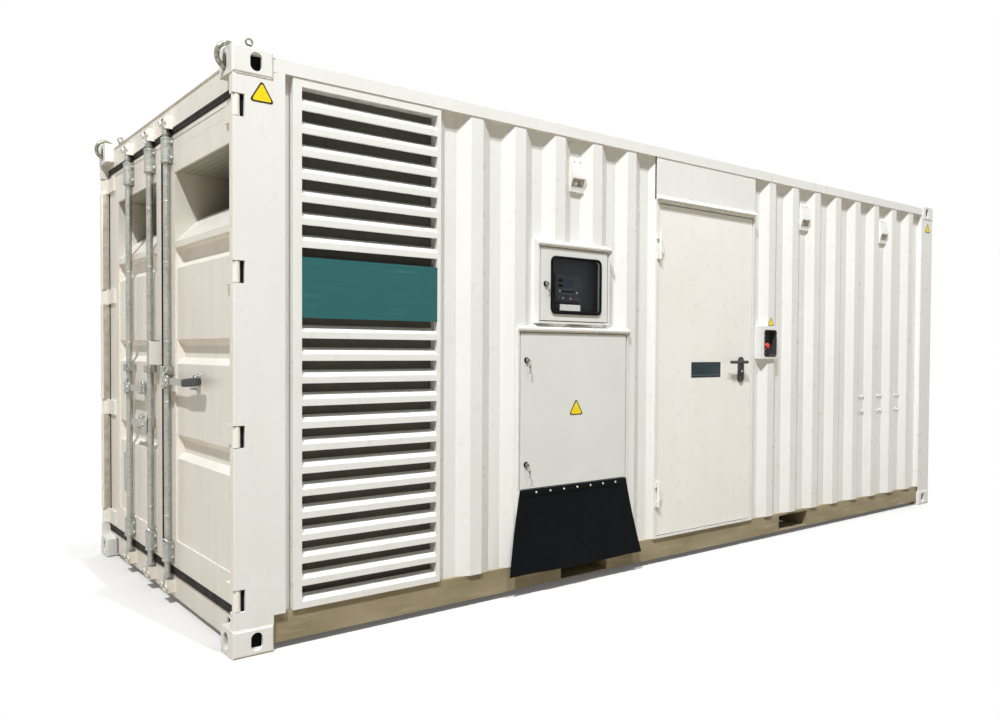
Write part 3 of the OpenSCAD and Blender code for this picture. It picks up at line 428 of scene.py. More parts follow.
def make_galvanised_steel():
    """Hot-dip galvanised steel: dull spangle about a centimetre across, pale bloom, thin stains."""
    tree, shader = finish("galvanised_steel")
    where = add(tree, "ShaderNodeTexCoord").outputs["Object"]
    flake = add(tree, "ShaderNodeTexVoronoi", {"Vector": where, "Scale": 90.0}).outputs["Color"]
    tone = add(tree, "ShaderNodeSeparateColor", {0: flake}).outputs[0]
    bloom = patches(tree, 45, 5, (1, 1, 4), (0.42, 0.66))
    stain = patches(tree, 30, 4, (1, 1, 5), (0.66, 0.75))
    zinc = blended(tree, tone, linear("#9a9d97"), linear("#b6b7ae"))
    zinc = blended(tree, times(tree, bloom, 0.45), zinc, linear("#c9c5b6"))
    zinc = blended(tree, times(tree, stain, 0.5), zinc, linear("#8b7a62"))
    bump = raised(tree, (tone, 0.05, 0.2), (noise(tree, 6, 3), 0.15, 0.2))
    settle(tree, shader, zinc, spread(tree, tone, 0, 1, 0.38, 0.56), bump, Metallic=0.75)


def make_shackle_steel():
    """Olive passivated steel of the shackles and keys, worn pale where they rub."""
    tree, shader = finish("shackle_steel")
    steel = blended(tree, patches(tree, 12, 4, ends=(0.45, 0.7)), linear("#7d7b69"), linear("#b9b5a3"))
    bump = raised(tree, (noise(tree, 5, 3), 0.3, 0.3))
    settle(tree, shader, steel, patches(tree, 9, to=(0.25, 0.42)), bump, Metallic=0.8)


def make_painted_shade_black():
    """Near-black surface for painted shade in sockets, pockets and holes, which takes almost no light."""
    tree, shader = finish("painted_shade_black")
    steel = blended(tree, patches(tree, 30, ends=(0.35, 0.65)), linear("#0b0c0e"), linear("#191b1e"))
    settle(tree, shader, steel, patches(tree, 14, 2, to=(0.5, 0.65)), Specular_IOR_Level=0.05)


def make_brown_painted_shade():
    """Brown painted shade for channels, strips and pocket mouths: matte, with a light brushed unevenness."""
    tree, shader = finish("brown_painted_shade")
    coat = blended(tree, patches(tree, 40, 4, ends=(0.35, 0.65)), linear("#a89c8a"), linear("#bfb5a6"))
    bump = raised(tree, (noise(tree, 5, 3), 0.2, 0.2))
    settle(tree, shader, coat, patches(tree, 14, 2, to=(0.55, 0.7)), bump, IOR=1.5)


def make_rubber(label, tone, bloom, rough):
    """Moulded rubber: matte, with a faint dusty bloom and mould grain."""
    tree, shader = finish(label)
    haze = patches(tree, 120, 5, (1, 1, 2), (0.4, 0.75))
    gum = blended(tree, times(tree, haze, 0.35), linear(tone), linear(bloom))
    grain = raised(tree, (noise(tree, 1.5, 2), 0.25, 0.12), (noise(tree, 60, 3), 0.15, 1.0))
    gloss = patches(tree, 35, 4, to=(rough - 0.08, rough + 0.1))
    settle(tree, shader, gum, gloss, grain, Specular_IOR_Level=0.08)


def make_teal_film(colours):
    """Blue-green plate: smooth self-coloured sheet with a soft sheen and faint scuffs."""
    tree, shader = finish("teal_film")
    scuff = patches(tree, 40, 5, (6, 1, 0.5), (0.55, 0.75))
    film = blended(tree, times(tree, scuff, 0.18), opaque(colours.band), linear("#5f9391"))
    wave = raised(tree, (noise(tree, 300, 2), 0.25, 2.0))
    settle(tree, shader, film, patches(tree, 90, to=(0.3, 0.42)), wave, Specular_IOR_Level=0.2)


def make_bird_mesh():
    """Fine mesh behind the louvre blades: dark and grainy, browner and a little lighter low down."""
    tree, shader = finish("bird_mesh")
    grain = patches(tree, 6, 2, ends=(0.35, 0.65))
    haze = patches(tree, 140)
    mesh = blended(tree, spread(tree, axis(tree, "Z"), 1.6, 0.2), linear("#63635e"), linear("#736b5c"))
    mesh = blended(tree, times(tree, haze, 0.3), mesh, linear("#3c3b37"))
    mesh = blended(tree, times(tree, grain, 0.3), mesh, linear("#2c2b28"))
    settle(tree, shader, mesh, 0.8, raised(tree, (grain, 0.5, 1.0)), IOR=1.45)


def make_perforated_facing():
    """Perforated facing: dull galvanised sheet with a dark round spot at every pitch, painted shade
    that stands for a hole, where the cosines of the two directions add up to more than about one
    and a half."""
    tree, shader = finish("perforated_facing")
    pitch = 0.034
    turns = 2 * math.pi / pitch
    waves = []
    for name in "XY":
        angle = times(tree, axis(tree, name), turns)
        waves.append(add(tree, "ShaderNodeMath", {0: angle}, operation="COSINE").outputs[0])
    hole = spread(tree, chained(tree, "ADD", *waves), 1.45, 1.6)
    facing = blended(tree, patches(tree, 200), linear("#a8a498"), linear("#b6b2a6"))
    facing = blended(tree, hole, facing, linear("#45423b"))
    settle(tree, shader, facing, 0.55, raised(tree, (hole, -0.6, 1.0)), Metallic=0.3)


def make_foil_facing():
    """Aluminium-faced insulation slabs, a little crinkled."""
    tree, shader = finish("foil_facing")
    foil = blended(tree, patches(tree, 260), linear("#9d9c97"), linear("#b4b3ad"))
    settle(tree, shader, foil, 0.45, raised(tree, (noise(tree, 35, 4), 0.35, 1.2)), Metallic=0.5)


def make_chequer_plate():
    """Chequer plate floor: raised lozenges in two directions, worn bright on top."""
    tree, shader = finish("chequer_plate")
    lozenges = []
    for side in (1, -1):
        where = add(tree, "ShaderNodeTexCoord").outputs["Object"]
        turn = {"Vector": where, "Rotation": (0, 0, side * math.pi / 4), "Scale": (28, 70, 1)}
        cell = {"Vector": add(tree, "ShaderNodeMapping", turn).outputs[0], "Scale": 1.0, "Randomness": 0.0}
        lozenges.append(add(tree, "ShaderNodeTexVoronoi", cell).outputs["Distance"])
    stud = times(tree, spread(tree, lozenges[0], 0.32, 0.2), spread(tree, lozenges[1], 0.9, 0.2))
    floor = blended(tree, times(tree, stud, 0.5), linear("#6f6a5c"), linear("#a29c8c"))
    bump = raised(tree, (stud, 0.8, 2.0), (noise(tree, 8, 3), 0.2, 0.2))
    settle(tree, shader, floor, 0.5, bump, Metallic=0.6)


def make_black_plastic(label, tone, bloom, rough):
    """Black plastic: fine spark-eroded grain."""
    tree, shader = finish(label)
    body = blended(tree, patches(tree, 30), linear(tone), linear(bloom))
    grain = raised(tree, (noise(tree, 0.9, 2), 0.2, 0.06))
    gloss = patches(tree, 18, 2, to=(rough - 0.04, rough + 0.06))
    settle(tree, shader, body, gloss, grain, Specular_IOR_Level=0.06)


def make_bright_zinc():
    """Bright zinc-plated hardware: lock barrels, screws and rivets."""
    tree, shader = finish("bright_zinc")
    tint = blended(tree, patches(tree, 8), linear("#c2c4c2"), linear("#d9d8d0"))
    settle(tree, shader, tint, patches(tree, 5, 2, to=(0.22, 0.38)), Metallic=0.95)


def make_moulding(label, tone, other, rough):
    """Glossy moulding or printed film: two near tones and a slight unevenness."""
    tree, shader = finish(label)
    body = blended(tree, patches(tree, 14), linear(tone), linear(other))
    wave = raised(tree, (noise(tree, 2, 2), 0.08, 0.08))
    gloss = patches(tree, 9, 2, to=(rough - 0.04, rough + 0.05))
    settle(tree, shader, body, gloss, wave, Specular_IOR_Level=0.3)


def make_acrylic_sheet():
    """Acrylic window sheet: clear and faintly grey, with a few hairline scratches, and a low IOR
    that keeps its reflections faint."""
    tree, shader = finish("acrylic_sheet")
    scratch = patches(tree, 2, 2, (30, 1, 0.5), (0.7, 0.8))
    clear = blended(tree, scratch, linear("#dfe5e6"), linear("#f2f4f4"))
    settle(tree, shader, clear, spread(tree, scratch, 0, 1, 0.04, 0.2), IOR=1.12, Transmission_Weight=1.0)


# Name: tone, bloom, roughness.
RUBBERS = {
    "black_rubber": ("#1d1a17", "#2e2a25", 0.55),
    "skirt_rubber": ("#07090a", "#0e1112", 0.65),
}
BLACK_PLASTICS = {
    "black_plastic": ("#121315", "#1d1e20", 0.6),
    "gloss_black": ("#07080a", "#101113", 0.16),
}
# Name: tone, second tone, roughness.
MOULDINGS = {
    "red_plastic": ("#b3170f", "#8f110c", 0.25),
    "yellow_plastic": ("#f2cb1c", "#dcb414", 0.38),
    "sign_yellow": ("#f4dc1e", "#e8cb14", 0.4),
    "sign_black": ("#231d12", "#2e2718", 0.42),
    "green_plastic": ("#3f9a4c", "#358242", 0.3),
    "info_film": ("#16282b", "#1d3236", 0.36),
    "screen_glass": ("#27343a", "#33454a", 0.12),
    "white_plastic": ("#d8d9d6", "#c6c7c4", 0.4),
    "legend_grey": ("#8d9294", "#7c8284", 0.45),
}


def make_finishes(colours):
    """Every material of the set, from the panel's colours."""
    for make in (make_enamels, make_powder_coat, make_underbody_coating, make_teal_film):
        make(colours)
    for make in (
        make_galvanised_steel, make_shackle_steel, make_painted_shade_black, make_brown_painted_shade, make_bird_mesh,
        make_perforated_facing, make_foil_facing, make_chequer_plate, make_bright_zinc, make_acrylic_sheet,
    ):
        make()
    tables = ((make_rubber, RUBBERS), (make_black_plastic, BLACK_PLASTICS), (make_moulding, MOULDINGS))
    for make, table in tables:
        for label, values in table.items():
            make(label, *values)


NODE_FINISHES = {
    "white_enamel": """bottom_castings top_castings front_posts front_rails top_side_rails near_wall_middle
        near_wall_front far_wall front_wall near_louvre far_louvre service_door_frame service_door_cover
        stop_box wall_brackets control_cabinet power_cabinet""",
    "door_enamel": "door_sill door_header near_cargo_door far_cargo_door cam_keepers",
    "post_enamel": "door_end_posts",
    "hood_enamel": "near_discharge_hood far_discharge_hood",
    "service_enamel": "service_door",
    "roof_enamel": "roof_sheet",
    "powder_coat": "control_door power_door",
    "underbody_coating": "bottom_side_rails cross_members fork_pockets",
    "chequer_plate": "floor_plate",
    "foil_facing": "side_linings roof_lining front_lining",
    "bird_mesh": "louvre_screens",
    "teal_film": "band_plate",
    "galvanised_steel": "near_lock_rod far_inner_lock_rod far_outer_lock_rod near_rod_guides far_rod_guides",
    "shackle_steel": "lifting_shackles",
    "black_rubber": "near_door_gasket far_door_gasket",
    "skirt_rubber": "cable_skirt",
    "black_plastic": "controller near_handle_grip service_lever lock_plate stop_panel",
    "gloss_black": "control_window",
    "acrylic_sheet": "control_glass",
    "red_plastic": "stop_button",
}


# ---------------------------------------------------------------- stage
def seen_rays(tree):
    """One for the camera's, glossy and transmitted rays, and nought for every other ray."""
    rays = add(tree, "ShaderNodeLightPath").outputs
    kinds = ("Camera", "Glossy", "Transmission")
    return chained(tree, "MAXIMUM", *(rays[f"Is {kind} Ray"] for kind in kinds))


def make_floor_finish():
    """Floor: white to the eye with the shadow kept near the container, fading out over a short
    way round its outline, and warm concrete to bounced light."""
    fade = 0.42
    tree, shader = finish("pale_floor")
    tree.nodes.remove(shader)
    seen = seen_rays(tree)
    mottle = blended(tree, noise(tree, 900, 3), linear("#9c917d"), linear("#a89d89"))
    bounce = add(tree, "ShaderNodeBsdfDiffuse", {"Color": mottle}).outputs[0]
    paper = add(tree, "ShaderNodeBsdfDiffuse", {"Color": linear("#dedcd8")}).outputs[0]
    white = add(tree, "ShaderNodeEmission", {"Color": (1, 1, 1, 1), "Strength": 1.0}).outputs[0]
    away = 0.0
    for name, half in zip("XY", (TOP - BASE)[:2] / 2000):
        reach = add(tree, "ShaderNodeMath", {0: axis(tree, name)}, operation="ABSOLUTE").outputs[0]
        away = chained(tree, "MAXIMUM", chained(tree, "SUBTRACT", reach, float(half)), away)
    share = spread(tree, away, 0.0, fade, 0.9, 0.0)
    pale = add(tree, "ShaderNodeMixShader", {0: share, 1: white, 2: paper}).outputs[0]
    both = add(tree, "ShaderNodeMixShader", {0: seen, 1: bounce, 2: pale}).outputs[0]
    tree.links.new(both, tree.nodes["Material Output"].inputs[0])


def lay_floor(scene):
    """A flat floor, a millimetre under the castings."""
    half, lines = 60000, 25
    reach = np.linspace(-half, half, lines)
    x, y = np.meshgrid(reach, reach, indexing="ij")
    ground = np.stack([x, y, np.full_like(x, BASE[2] - 1)], -1).reshape(-1, 3)
    mesh = bpy.data.meshes.new("floor")
    mesh.from_pydata((ground / 1000).tolist(), [], grid_faces(lines, lines)[:, ::-1].tolist())
    floor = bpy.data.objects.new("floor", mesh)
    mesh.materials.append(bpy.data.materials["pale_floor"])
    scene.collection.objects.link(floor)


def make_world(scene):
    """World: white to the eye, to gloss and through glass; a softer sky to everything else."""
    world = bpy.data.worlds.new("studio")
    world.use_nodes = True
    scene.world = world
    tree = world.node_tree
    seen = seen_rays(tree)
    back = tree.nodes["Background"]
    tree.links.new(spread(tree, seen, 0, 1, 0.22, 1.0), back.inputs["Strength"])
    tree.links.new(blended(tree, seen, (0.97, 0.98, 1, 1), (1, 1, 1, 1)), back.inputs["Color"])


def hang_lamps(scene):
    """Two small, far and steep hall lights that cut the shadows and fade along the wall, and a
    weak wide light on the sides that they leave dark."""
    for name, place, power, radius in (
        ("hall_light_far", (-10.0, -7.8, 17.8), 16400.0, 0.2),
        ("hall_light_near", (-2.2, -6.2, 12.2), 3500.0, 0.12),
    ):
        lamp = bpy.data.lights.new(name, "POINT")
        lamp.energy = power
        lamp.shadow_soft_size = radius
        lamp.color = (0.97, 1.0, 1.035)
        thing = bpy.data.objects.new(name, lamp)
        thing.location = place
        scene.collection.objects.link(thing)
    lamp = bpy.data.lights.new("back_fill", "SUN")
    lamp.energy = 1.3
    lamp.angle = math.radians(60.0)
    lamp.color = (0.99, 0.995, 1.0)
    thing = bpy.data.objects.new("back_fill", lamp)
    thing.rotation_euler = Vector((-0.55, -0.60, -0.58)).to_track_quat("-Z", "Y").to_euler()
    scene.collection.objects.link(thing)


def set_camera(scene):
    """Camera at standing height off the door corner; yaw, pitch and roll turn its axes."""
    yaw, pitch, roll = (math.radians(a) for a in (50.05, -1.29, 0.38))
    ahead = np.array([math.cos(pitch) * math.cos(yaw), math.cos(pitch) * math.sin(yaw), math.sin(pitch)])
    right = np.array([math.sin(yaw), -math.cos(yaw), 0.0])
    up = np.cross(right, ahead)
    data = bpy.data.cameras.new("camera")
    data.sensor_width = 36.0
    data.lens = 30.39
    data.shift_x = -0.057
    data.shift_y = 0.0099
    data.clip_end = 400.0
    camera = bpy.data.objects.new("camera", data)
    turn = np.eye(4)
    turn[:3, 0] = right * math.cos(roll) + up * math.sin(roll)
    turn[:3, 1] = up * math.cos(roll) - right * math.sin(roll)
    turn[:3, 2] = -ahead
    turn[:3, 3] = (-4.256, -4.801, 1.317)
    camera.matrix_world = Matrix(turn.tolist())
    scene.collection.objects.link(camera)
    scene.camera = camera


# ---------------------------------------------------------------- what a user would change
def shade(code, name, note):
    """A colour property whose default is an sRGB hex code."""
    return FloatVectorProperty(
        name=name, description=note, subtype="COLOR", size=3, min=0, max=1, default=linear(code)[:3]
    )


def size(name, note, default, least, most):
    """A length property, in metres."""
    return FloatProperty(name=name, description=note, default=default, min=least, max=most, unit="LENGTH")


class GensetColours(bpy.types.PropertyGroup):
    """Colours of the set's main finishes."""

    shell: shade("#e6e6e3", "Shell", "Enamel of the walls, castings and frame")
    # The door end's tone is the shell's paint made lighter and creamier: painted light for its dimmer lamp
    # light.
    doors: shade("#efeae1", "Door end", "Enamel of the cargo doors and their posts")
    cabinets: shade("#dddedb", "Cabinets", "Powder coat of the two outdoor cabinets' doors")
    rails: shade("#a1947a", "Underbody", "Coating of the bottom rails and fork pockets")
    band: shade("#2c6162", "Band", "Plate across the louvre")
    # Dust also tints the enamels warmer towards the ground, where it doubles as painted light bounced off the
    # floor.
    dust: shade("#cfc4ae", "Dust", "Road dust and grime")


class GensetSizes(bpy.types.PropertyGroup):
    """Sizes of the fittings that the set is dressed with."""

    bolt: size("Bolt", "Across the flats of the wall bolts", 0.019, 0.008, 0.04)
    sign: size("Sign", "Side of a warning triangle", 0.106, 0.03, 0.2)


# ---------------------------------------------------------------- operators
class Step:
    """What every step's operator has in common."""

    bl_options = {"REGISTER", "UNDO"}


class GENSET_OT_finishes(Step, bpy.types.Operator):
    """Make the materials and lay them on the frame's own nodes"""

    bl_idname = "genset.finishes"
    bl_label = "Finishes"

    def execute(self, context):
        make_finishes(context.scene.genset_colours)
        for finish_name, nodes in NODE_FINISHES.items():
            for node in nodes.split():
                materials = frame["nodes"][node].data.materials
                materials.clear()
                materials.append(bpy.data.materials[finish_name])
        bare = []
        for node, thing in frame["nodes"].items():
            if not thing.data.materials or thing.data.materials[0].name not in NODE_FINISHES:
                bare.append(node)
        if bare:
            raise RuntimeError(f"no finish for {bare}")
        return {"FINISHED"}


class GENSET_OT_stage(Step, bpy.types.Operator):
    """Set the floor, the lamps, the world and the camera"""

    bl_idname = "genset.stage"
    bl_label = "Stage"

    def execute(self, context):
        scene = bpy.context.scene
        scene.view_settings.view_transform = "Standard"
        make_floor_finish()
        lay_floor(scene)
        make_world(scene)
        hang_lamps(scene)
        set_camera(scene)
        return {"FINISHED"}


# ---------------------------------------------------------------- small hardware
def lipped(long, tall):
    """Rubber strip along x with two rolled lips: its depth is 2 mm plus 2.4 times the root of
    the sine of two half turns across its height."""
    t = np.linspace(0, 1, 25)
    front = np.stack([tall * (t - 0.5), 2 + 2.4 * np.sqrt(np.abs(np.sin(2 * math.pi * t)))], -1)
    outline = np.concatenate([front, [[tall / 2, 0], [-tall / 2, 0]]])
    return loft([np.c_[np.full(len(outline), x), outline] for x in (-long / 2, long / 2)])


def hex_bolt(across, thick):
    """Hexagon head on a washer: the washer is a turned plate, and the head's six sides rise to
    a chamfer that ends in a flat crown."""
    r = across / math.sqrt(3)
    washer = turned([(across * 0.95, 0), (across * 0.95, 1.6), (across * 0.9, 2.0), (across * 0.4, 2.0)], 20)
    sides = ((1, 0), (1, thick * 0.85), (0.86, thick), (0.4, thick))
    return joined(washer, loft([lifted(circle(r * share, 6), 2.0 + rise) for share, rise in sides]))


def dome(radius, tall, steps=14):
    """Domed head: radius times the cosine of a quarter turn against height times its sine."""
    a = np.linspace(0, math.pi / 2 - 0.12, 5)
    return turned(np.stack([radius * np.cos(a), tall * np.sin(a)], -1), steps)


def tube(path, radius, steps=10, closed=False):
    """Round bar along a path."""
    return swept(path, circle(radius, steps), closed)


def triangle(side, radius):
    """Rounded triangle round the origin: three corner arcs of a third of a turn each."""
    corner = np.radians([-30, 90, 210])[:, None]
    a = corner + np.linspace(-math.pi / 3, math.pi / 3, 6)
    reach = side / math.sqrt(3) - 2 * radius
    x = reach * np.cos(corner) + radius * np.cos(a)
    y = reach * np.sin(corner) + radius * np.sin(a)
    return np.stack([x.ravel(), y.ravel()], -1)


def plate(outline, thick, edge=0.4):
    """Plate of any outline: the outline shrinks towards its middle by edge over the last step."""
    centre = outline.mean(0)
    reach = np.linalg.norm(outline - centre, axis=1).max()
    inner = centre + (outline - centre) * (1 - edge / reach)
    return loft([lifted(outline, 0), lifted(outline, thick - edge), lifted(inner, thick)])


def eye(radius, hole, thick):
    """Flat ring with eased rims."""
    e = thick * 0.25
    outer = [(radius - e, 0), (radius, e), (radius, thick - e), (radius - e, thick)]
    return ringed(outer + [(hole + e, thick), (hole, thick - e), (hole, e), (hole + e, 0)])


# ---------------------------------------------------------------- door end
# Rod, its body, its guides, its leaf's body, the side that its handle points to (-1 is towards
# the cabinets), the handle's level, and how far along the handle its catch lies.
RODS = (
    ("near_lock_rod", "near_rod", "near_rod_guides", "near_cargo_door_leaf", -1, 1150.0, 420),
    ("far_inner_lock_rod", "far_inner_rod", "far_rod_guides", "far_cargo_door_leaf", 1, 895.0, 250),
    ("far_outer_lock_rod", "far_outer_rod", "far_rod_guides", "far_cargo_door_leaf", -1, 1090.0, 250),
)
# Level of the rods' middle guides and retainers.
MIDDLE_GUIDE_Z = 1205.0
# Radius of a guide round its rod, and its width over the flanges.
GUIDE = (27, 92)


def saddle(radius, wide, foot, z0, z1):
    """Pressed guide: a half round over the rod that runs out into two flat flanges 4 mm thick,
    carried from z0 to z1; foot is how far the leaf's face lies behind the rod's axis."""
    a = np.linspace(math.pi / 2, -math.pi / 2, 17)
    bow = np.stack([-np.cos(a), np.sin(a)], -1)
    front = foot - 4
    outer = np.concatenate([[(foot, wide / 2), (front, wide / 2), (front, radius)], radius * bow,
                            [(front, -radius), (front, -wide / 2), (foot, -wide / 2)]])
    inner = np.concatenate([[(foot, 4 - radius)], (radius - 4) * bow[::-1], [(foot, radius - 4)]])
    outline = np.concatenate([outer, inner])
    return loft([lifted(outline, z) for z in (z0, z1)])


def rod_seams(rod, x, y):
    """Rolled seams where lengths of tube are welded on, and swaged rims at the cams."""
    bottom, top = low(rod)[2], high(rod)[2]
    seam = turned([(16.6, -5), (18.0, -3), (18.5, 0), (18.0, 3), (16.6, 5)], 28)
    rim = turned([(16.8, -9), (21.6, -9), (22.2, -6), (22.2, 6), (21.6, 9), (16.8, 9)], 28)
    levels = [bottom + f * (top - bottom) for f in (0.155, 0.40, 0.53, 0.70, 0.83)]
    seams = [placed(seam, (x, y, z)) for z in levels]
    return joined(*seams, *[placed(rim, (x, y, z)) for z in (bottom + 62, top - 62)])


def rod_cams(rod, x, y, side):
    """Forged cams: at each end of the rod a nose whose outline is a circle pulled out into
    lobes by a third harmonic."""
    a = full_turn(32)
    lobe = np.stack([7 + 13 * np.cos(a) + 3 * np.cos(3 * a), 16 * np.sin(a)], -1)
    cam = loft([lifted(lobe * 0.82, 0), lifted(lobe, 4), lifted(lobe, 22), lifted(lobe * 0.82, 26)])
    levels = (low(rod)[2] + 7, high(rod)[2] - 33)
    return joined(*[placed(cam, (x - 4, y + side * 12, z), (0, side, 0), (1, 0, 0)) for z in levels])


def rod_retainer(x, y):
    """Eyes on both sides of the middle guide, each on a tongue, and the two plates between."""
    z = MIDDLE_GUIDE_Z
    parts = []
    for s, lift in ((-1, -4), (1, 6)):
        parts.append(placed(eye(14, 7.5, 7), (x - 12, y + s * 43, z + lift), (0, -1, 0), (0.25, 0, 1)))
        parts.append(on_end(slab(24, 18, 6, 5, 1.5), (x - 6, y + s * 27, z)))
        parts.append(on_end(slab(9, 40, 10, 3, 1.5), (x - 18, y + s * 20, z)))
    return joined(*parts)


class GENSET_OT_lock_rods(Step, bpy.types.Operator):
    """Fit the lock rods with weld seams, cam noses, saddle guides, guide bolts and retainer eyes"""

    bl_idname = "genset.lock_rods"
    bl_label = "Lock rods"

    def execute(self, context):
        saddles = {"near_rod_guides": [], "far_rod_guides": []}
        collar = turned([(26, 0), (28.6, 0.6), (29.4, 3), (29.2, 6), (26.6, 7.5)], 28)
        for rod, body, guides, leaf, side, _, _ in RODS:
            x, y = joint_at(body)[:2]
            piece(f"{body}_seams", rod_seams(rod, x, y), "galvanised_steel", body)
            piece(f"{body}_cams", rod_cams(rod, x, y, side), "door_enamel", body)
            # Pressed guides: a low, a high and a middle saddle, which stands further out.
            bottom, top = low(guides)[2], high(guides)[2]
            spans = ((bottom + 44, bottom + 150), (top - 130, top))
            shapes = [saddle(*GUIDE, high("near_rod_guides")[0] - x, *span) for span in spans]
            waist = (MIDDLE_GUIDE_Z - 21, MIDDLE_GUIDE_Z + 21)
            shapes.append(saddle(*GUIDE, high(guides)[0] - x, *waist))
            saddles[guides] += [placed(shape, (x, y, 0)) for shape in shapes]
            if body != "far_outer_rod":
                # Wire that is tied over the lower guide of the two rods at the seam.
                a = np.linspace(-math.pi / 2, math.pi / 2, 17)
                wire = np.stack([x - 31 * np.cos(a), y + 38 * np.sin(a), bottom + 148 + 20 * np.cos(a)], -1)
                piece(f"{body}_guide_wire", tube(wire, 2.2, 8), "bright_zinc", leaf)
            rims, bolts = [], []
            for z0, z1 in spans:
                rims += [placed(collar, (x, y, z)) for z in (z0 + 4, z1 - 12)]
                bolts += [on_end(hex_bolt(13, 7), (x + 16, y + s * 37, z))
                          for z in (z0 + 26, z1 - 26) for s in (-1, 1)]
            piece(f"{body}_guide_rims", joined(*rims), "galvanised_steel", leaf)
            piece(f"{body}_guide_bolts", joined(*bolts), "bright_zinc", leaf)
            piece(f"{body}_retainer", rod_retainer(x, y), "galvanised_steel", leaf)
        for side in ("near", "far"):
            shapes = joined(*saddles[f"{side}_rod_guides"])
            body = f"{side}_cargo_door_leaf"
            thing = piece(f"{side}_saddle_guides", shapes, "galvanised_steel", body)
            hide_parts(f"{side}_rod_guides")
        return {"FINISHED"}


class GENSET_OT_handles(Step, bpy.types.Operator):
    """Fit the handles with hub brackets, pivot bolts, catches and a dark grip"""

    bl_idname = "genset.handles"
    bl_label = "Handles"

    def execute(self, context):
        # Grip: a rounded bar that swells in the middle, narrows at its ends and rises to its tip.
        lo, hi = low("near_handle_grip"), high("near_handle_grip")
        swell = 1 + 0.06 * np.sin(np.linspace(0, math.pi, 24))
        swell[[0, -1]] *= 0.72
        swell[[1, -2]] *= 0.93
        x, _, z = (lo + hi) / 2
        path = np.stack([np.full(24, x), np.linspace(lo[1], hi[1], 24), z + np.linspace(13, -2, 24)], -1)
        grip = swept(path, rounded(hi[0] - lo[0], 0.86 * (hi[2] - lo[2]), 7, 6), scale=swell)
        thing = piece("handle_grip", grip, "black_plastic", "near_rod")
        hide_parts("near_handle_grip")
        leaf_x = low("near_cargo_door")[0] + 45
        for _, body, _, leaf, side, z, reach in RODS:
            x, y = joint_at(body)[:2]
            parts = [on_end(slab(88, 58, 6, 12, 2), (x - 19, y + side * 44, z)),
                     on_end(slab(44, 84, 6, 10, 2), (x - 21, y + side * 9, z + 2)),
                     on_end(hex_bolt(19, 10), (x - 20, y + side * 64, z)),
                     on_end(dome(9, 5), (x - 27, y + side * 2, z + 26)),
                     on_end(dome(9, 5), (x - 27, y + side * 2, z - 22))]
            piece(f"{body}_hub", joined(*parts), "galvanised_steel", body)
            # Catch that holds the handle's end, with its hasp.
            y += side * reach
            hasp = arc((leaf_x - 14, y, z + 24), 15, -0.4, math.pi + 0.4, 16, (0, 1, 0), (0, 0, 1))
            parts = [on_end(slab(52, 92, 5, 9, 1.5), (leaf_x + 8, y, z)),
                     on_end(slab(46, 9, 34, 3, 1), (leaf_x + 6, y, z - 27)),
                     on_end(dome(6, 4), (leaf_x + 3, y - 14, z + 34)),
                     on_end(dome(6, 4), (leaf_x + 3, y + 14, z + 34)),
                     tube(hasp, 3.2, 8)]
            piece(f"{body}_catch", joined(*parts), "galvanised_steel", leaf)
        return {"FINISHED"}


class GENSET_OT_keepers(Step, bpy.types.Operator):
    """Fit the cam keepers with forged ears and dark domes for their pin holes, painted shade"""

    bl_idname = "genset.keepers"
    bl_label = "Cam keepers"

    def execute(self, context):
        ears, sockets = [], []
        x = low("cam_keepers")[0]
        ear = plate(circle(10, 20) * [1, 1.5], 9, 2.0)
        for _, body, _, _, side, _, _ in RODS:
            for z in (low("cam_keepers")[2] + 30, high("cam_keepers")[2] - 30):
                for s in (-1, 1):
                    y = joint_at(body)[1] + s * (49 if s == side else 34)
                    ears.append(on_end(ear, (x + 3, y, z)))
                    # Dark dome on each ear: painted shade that stands for its pin hole.
                    sockets.append(on_end(dome(5, 3), (x - 6, y, z + 4)))
        piece("keeper_ears", joined(*ears), "door_enamel", "container")
        piece("keeper_hole_shades", joined(*sockets), "painted_shade_black", "container")
        return {"FINISHED"}


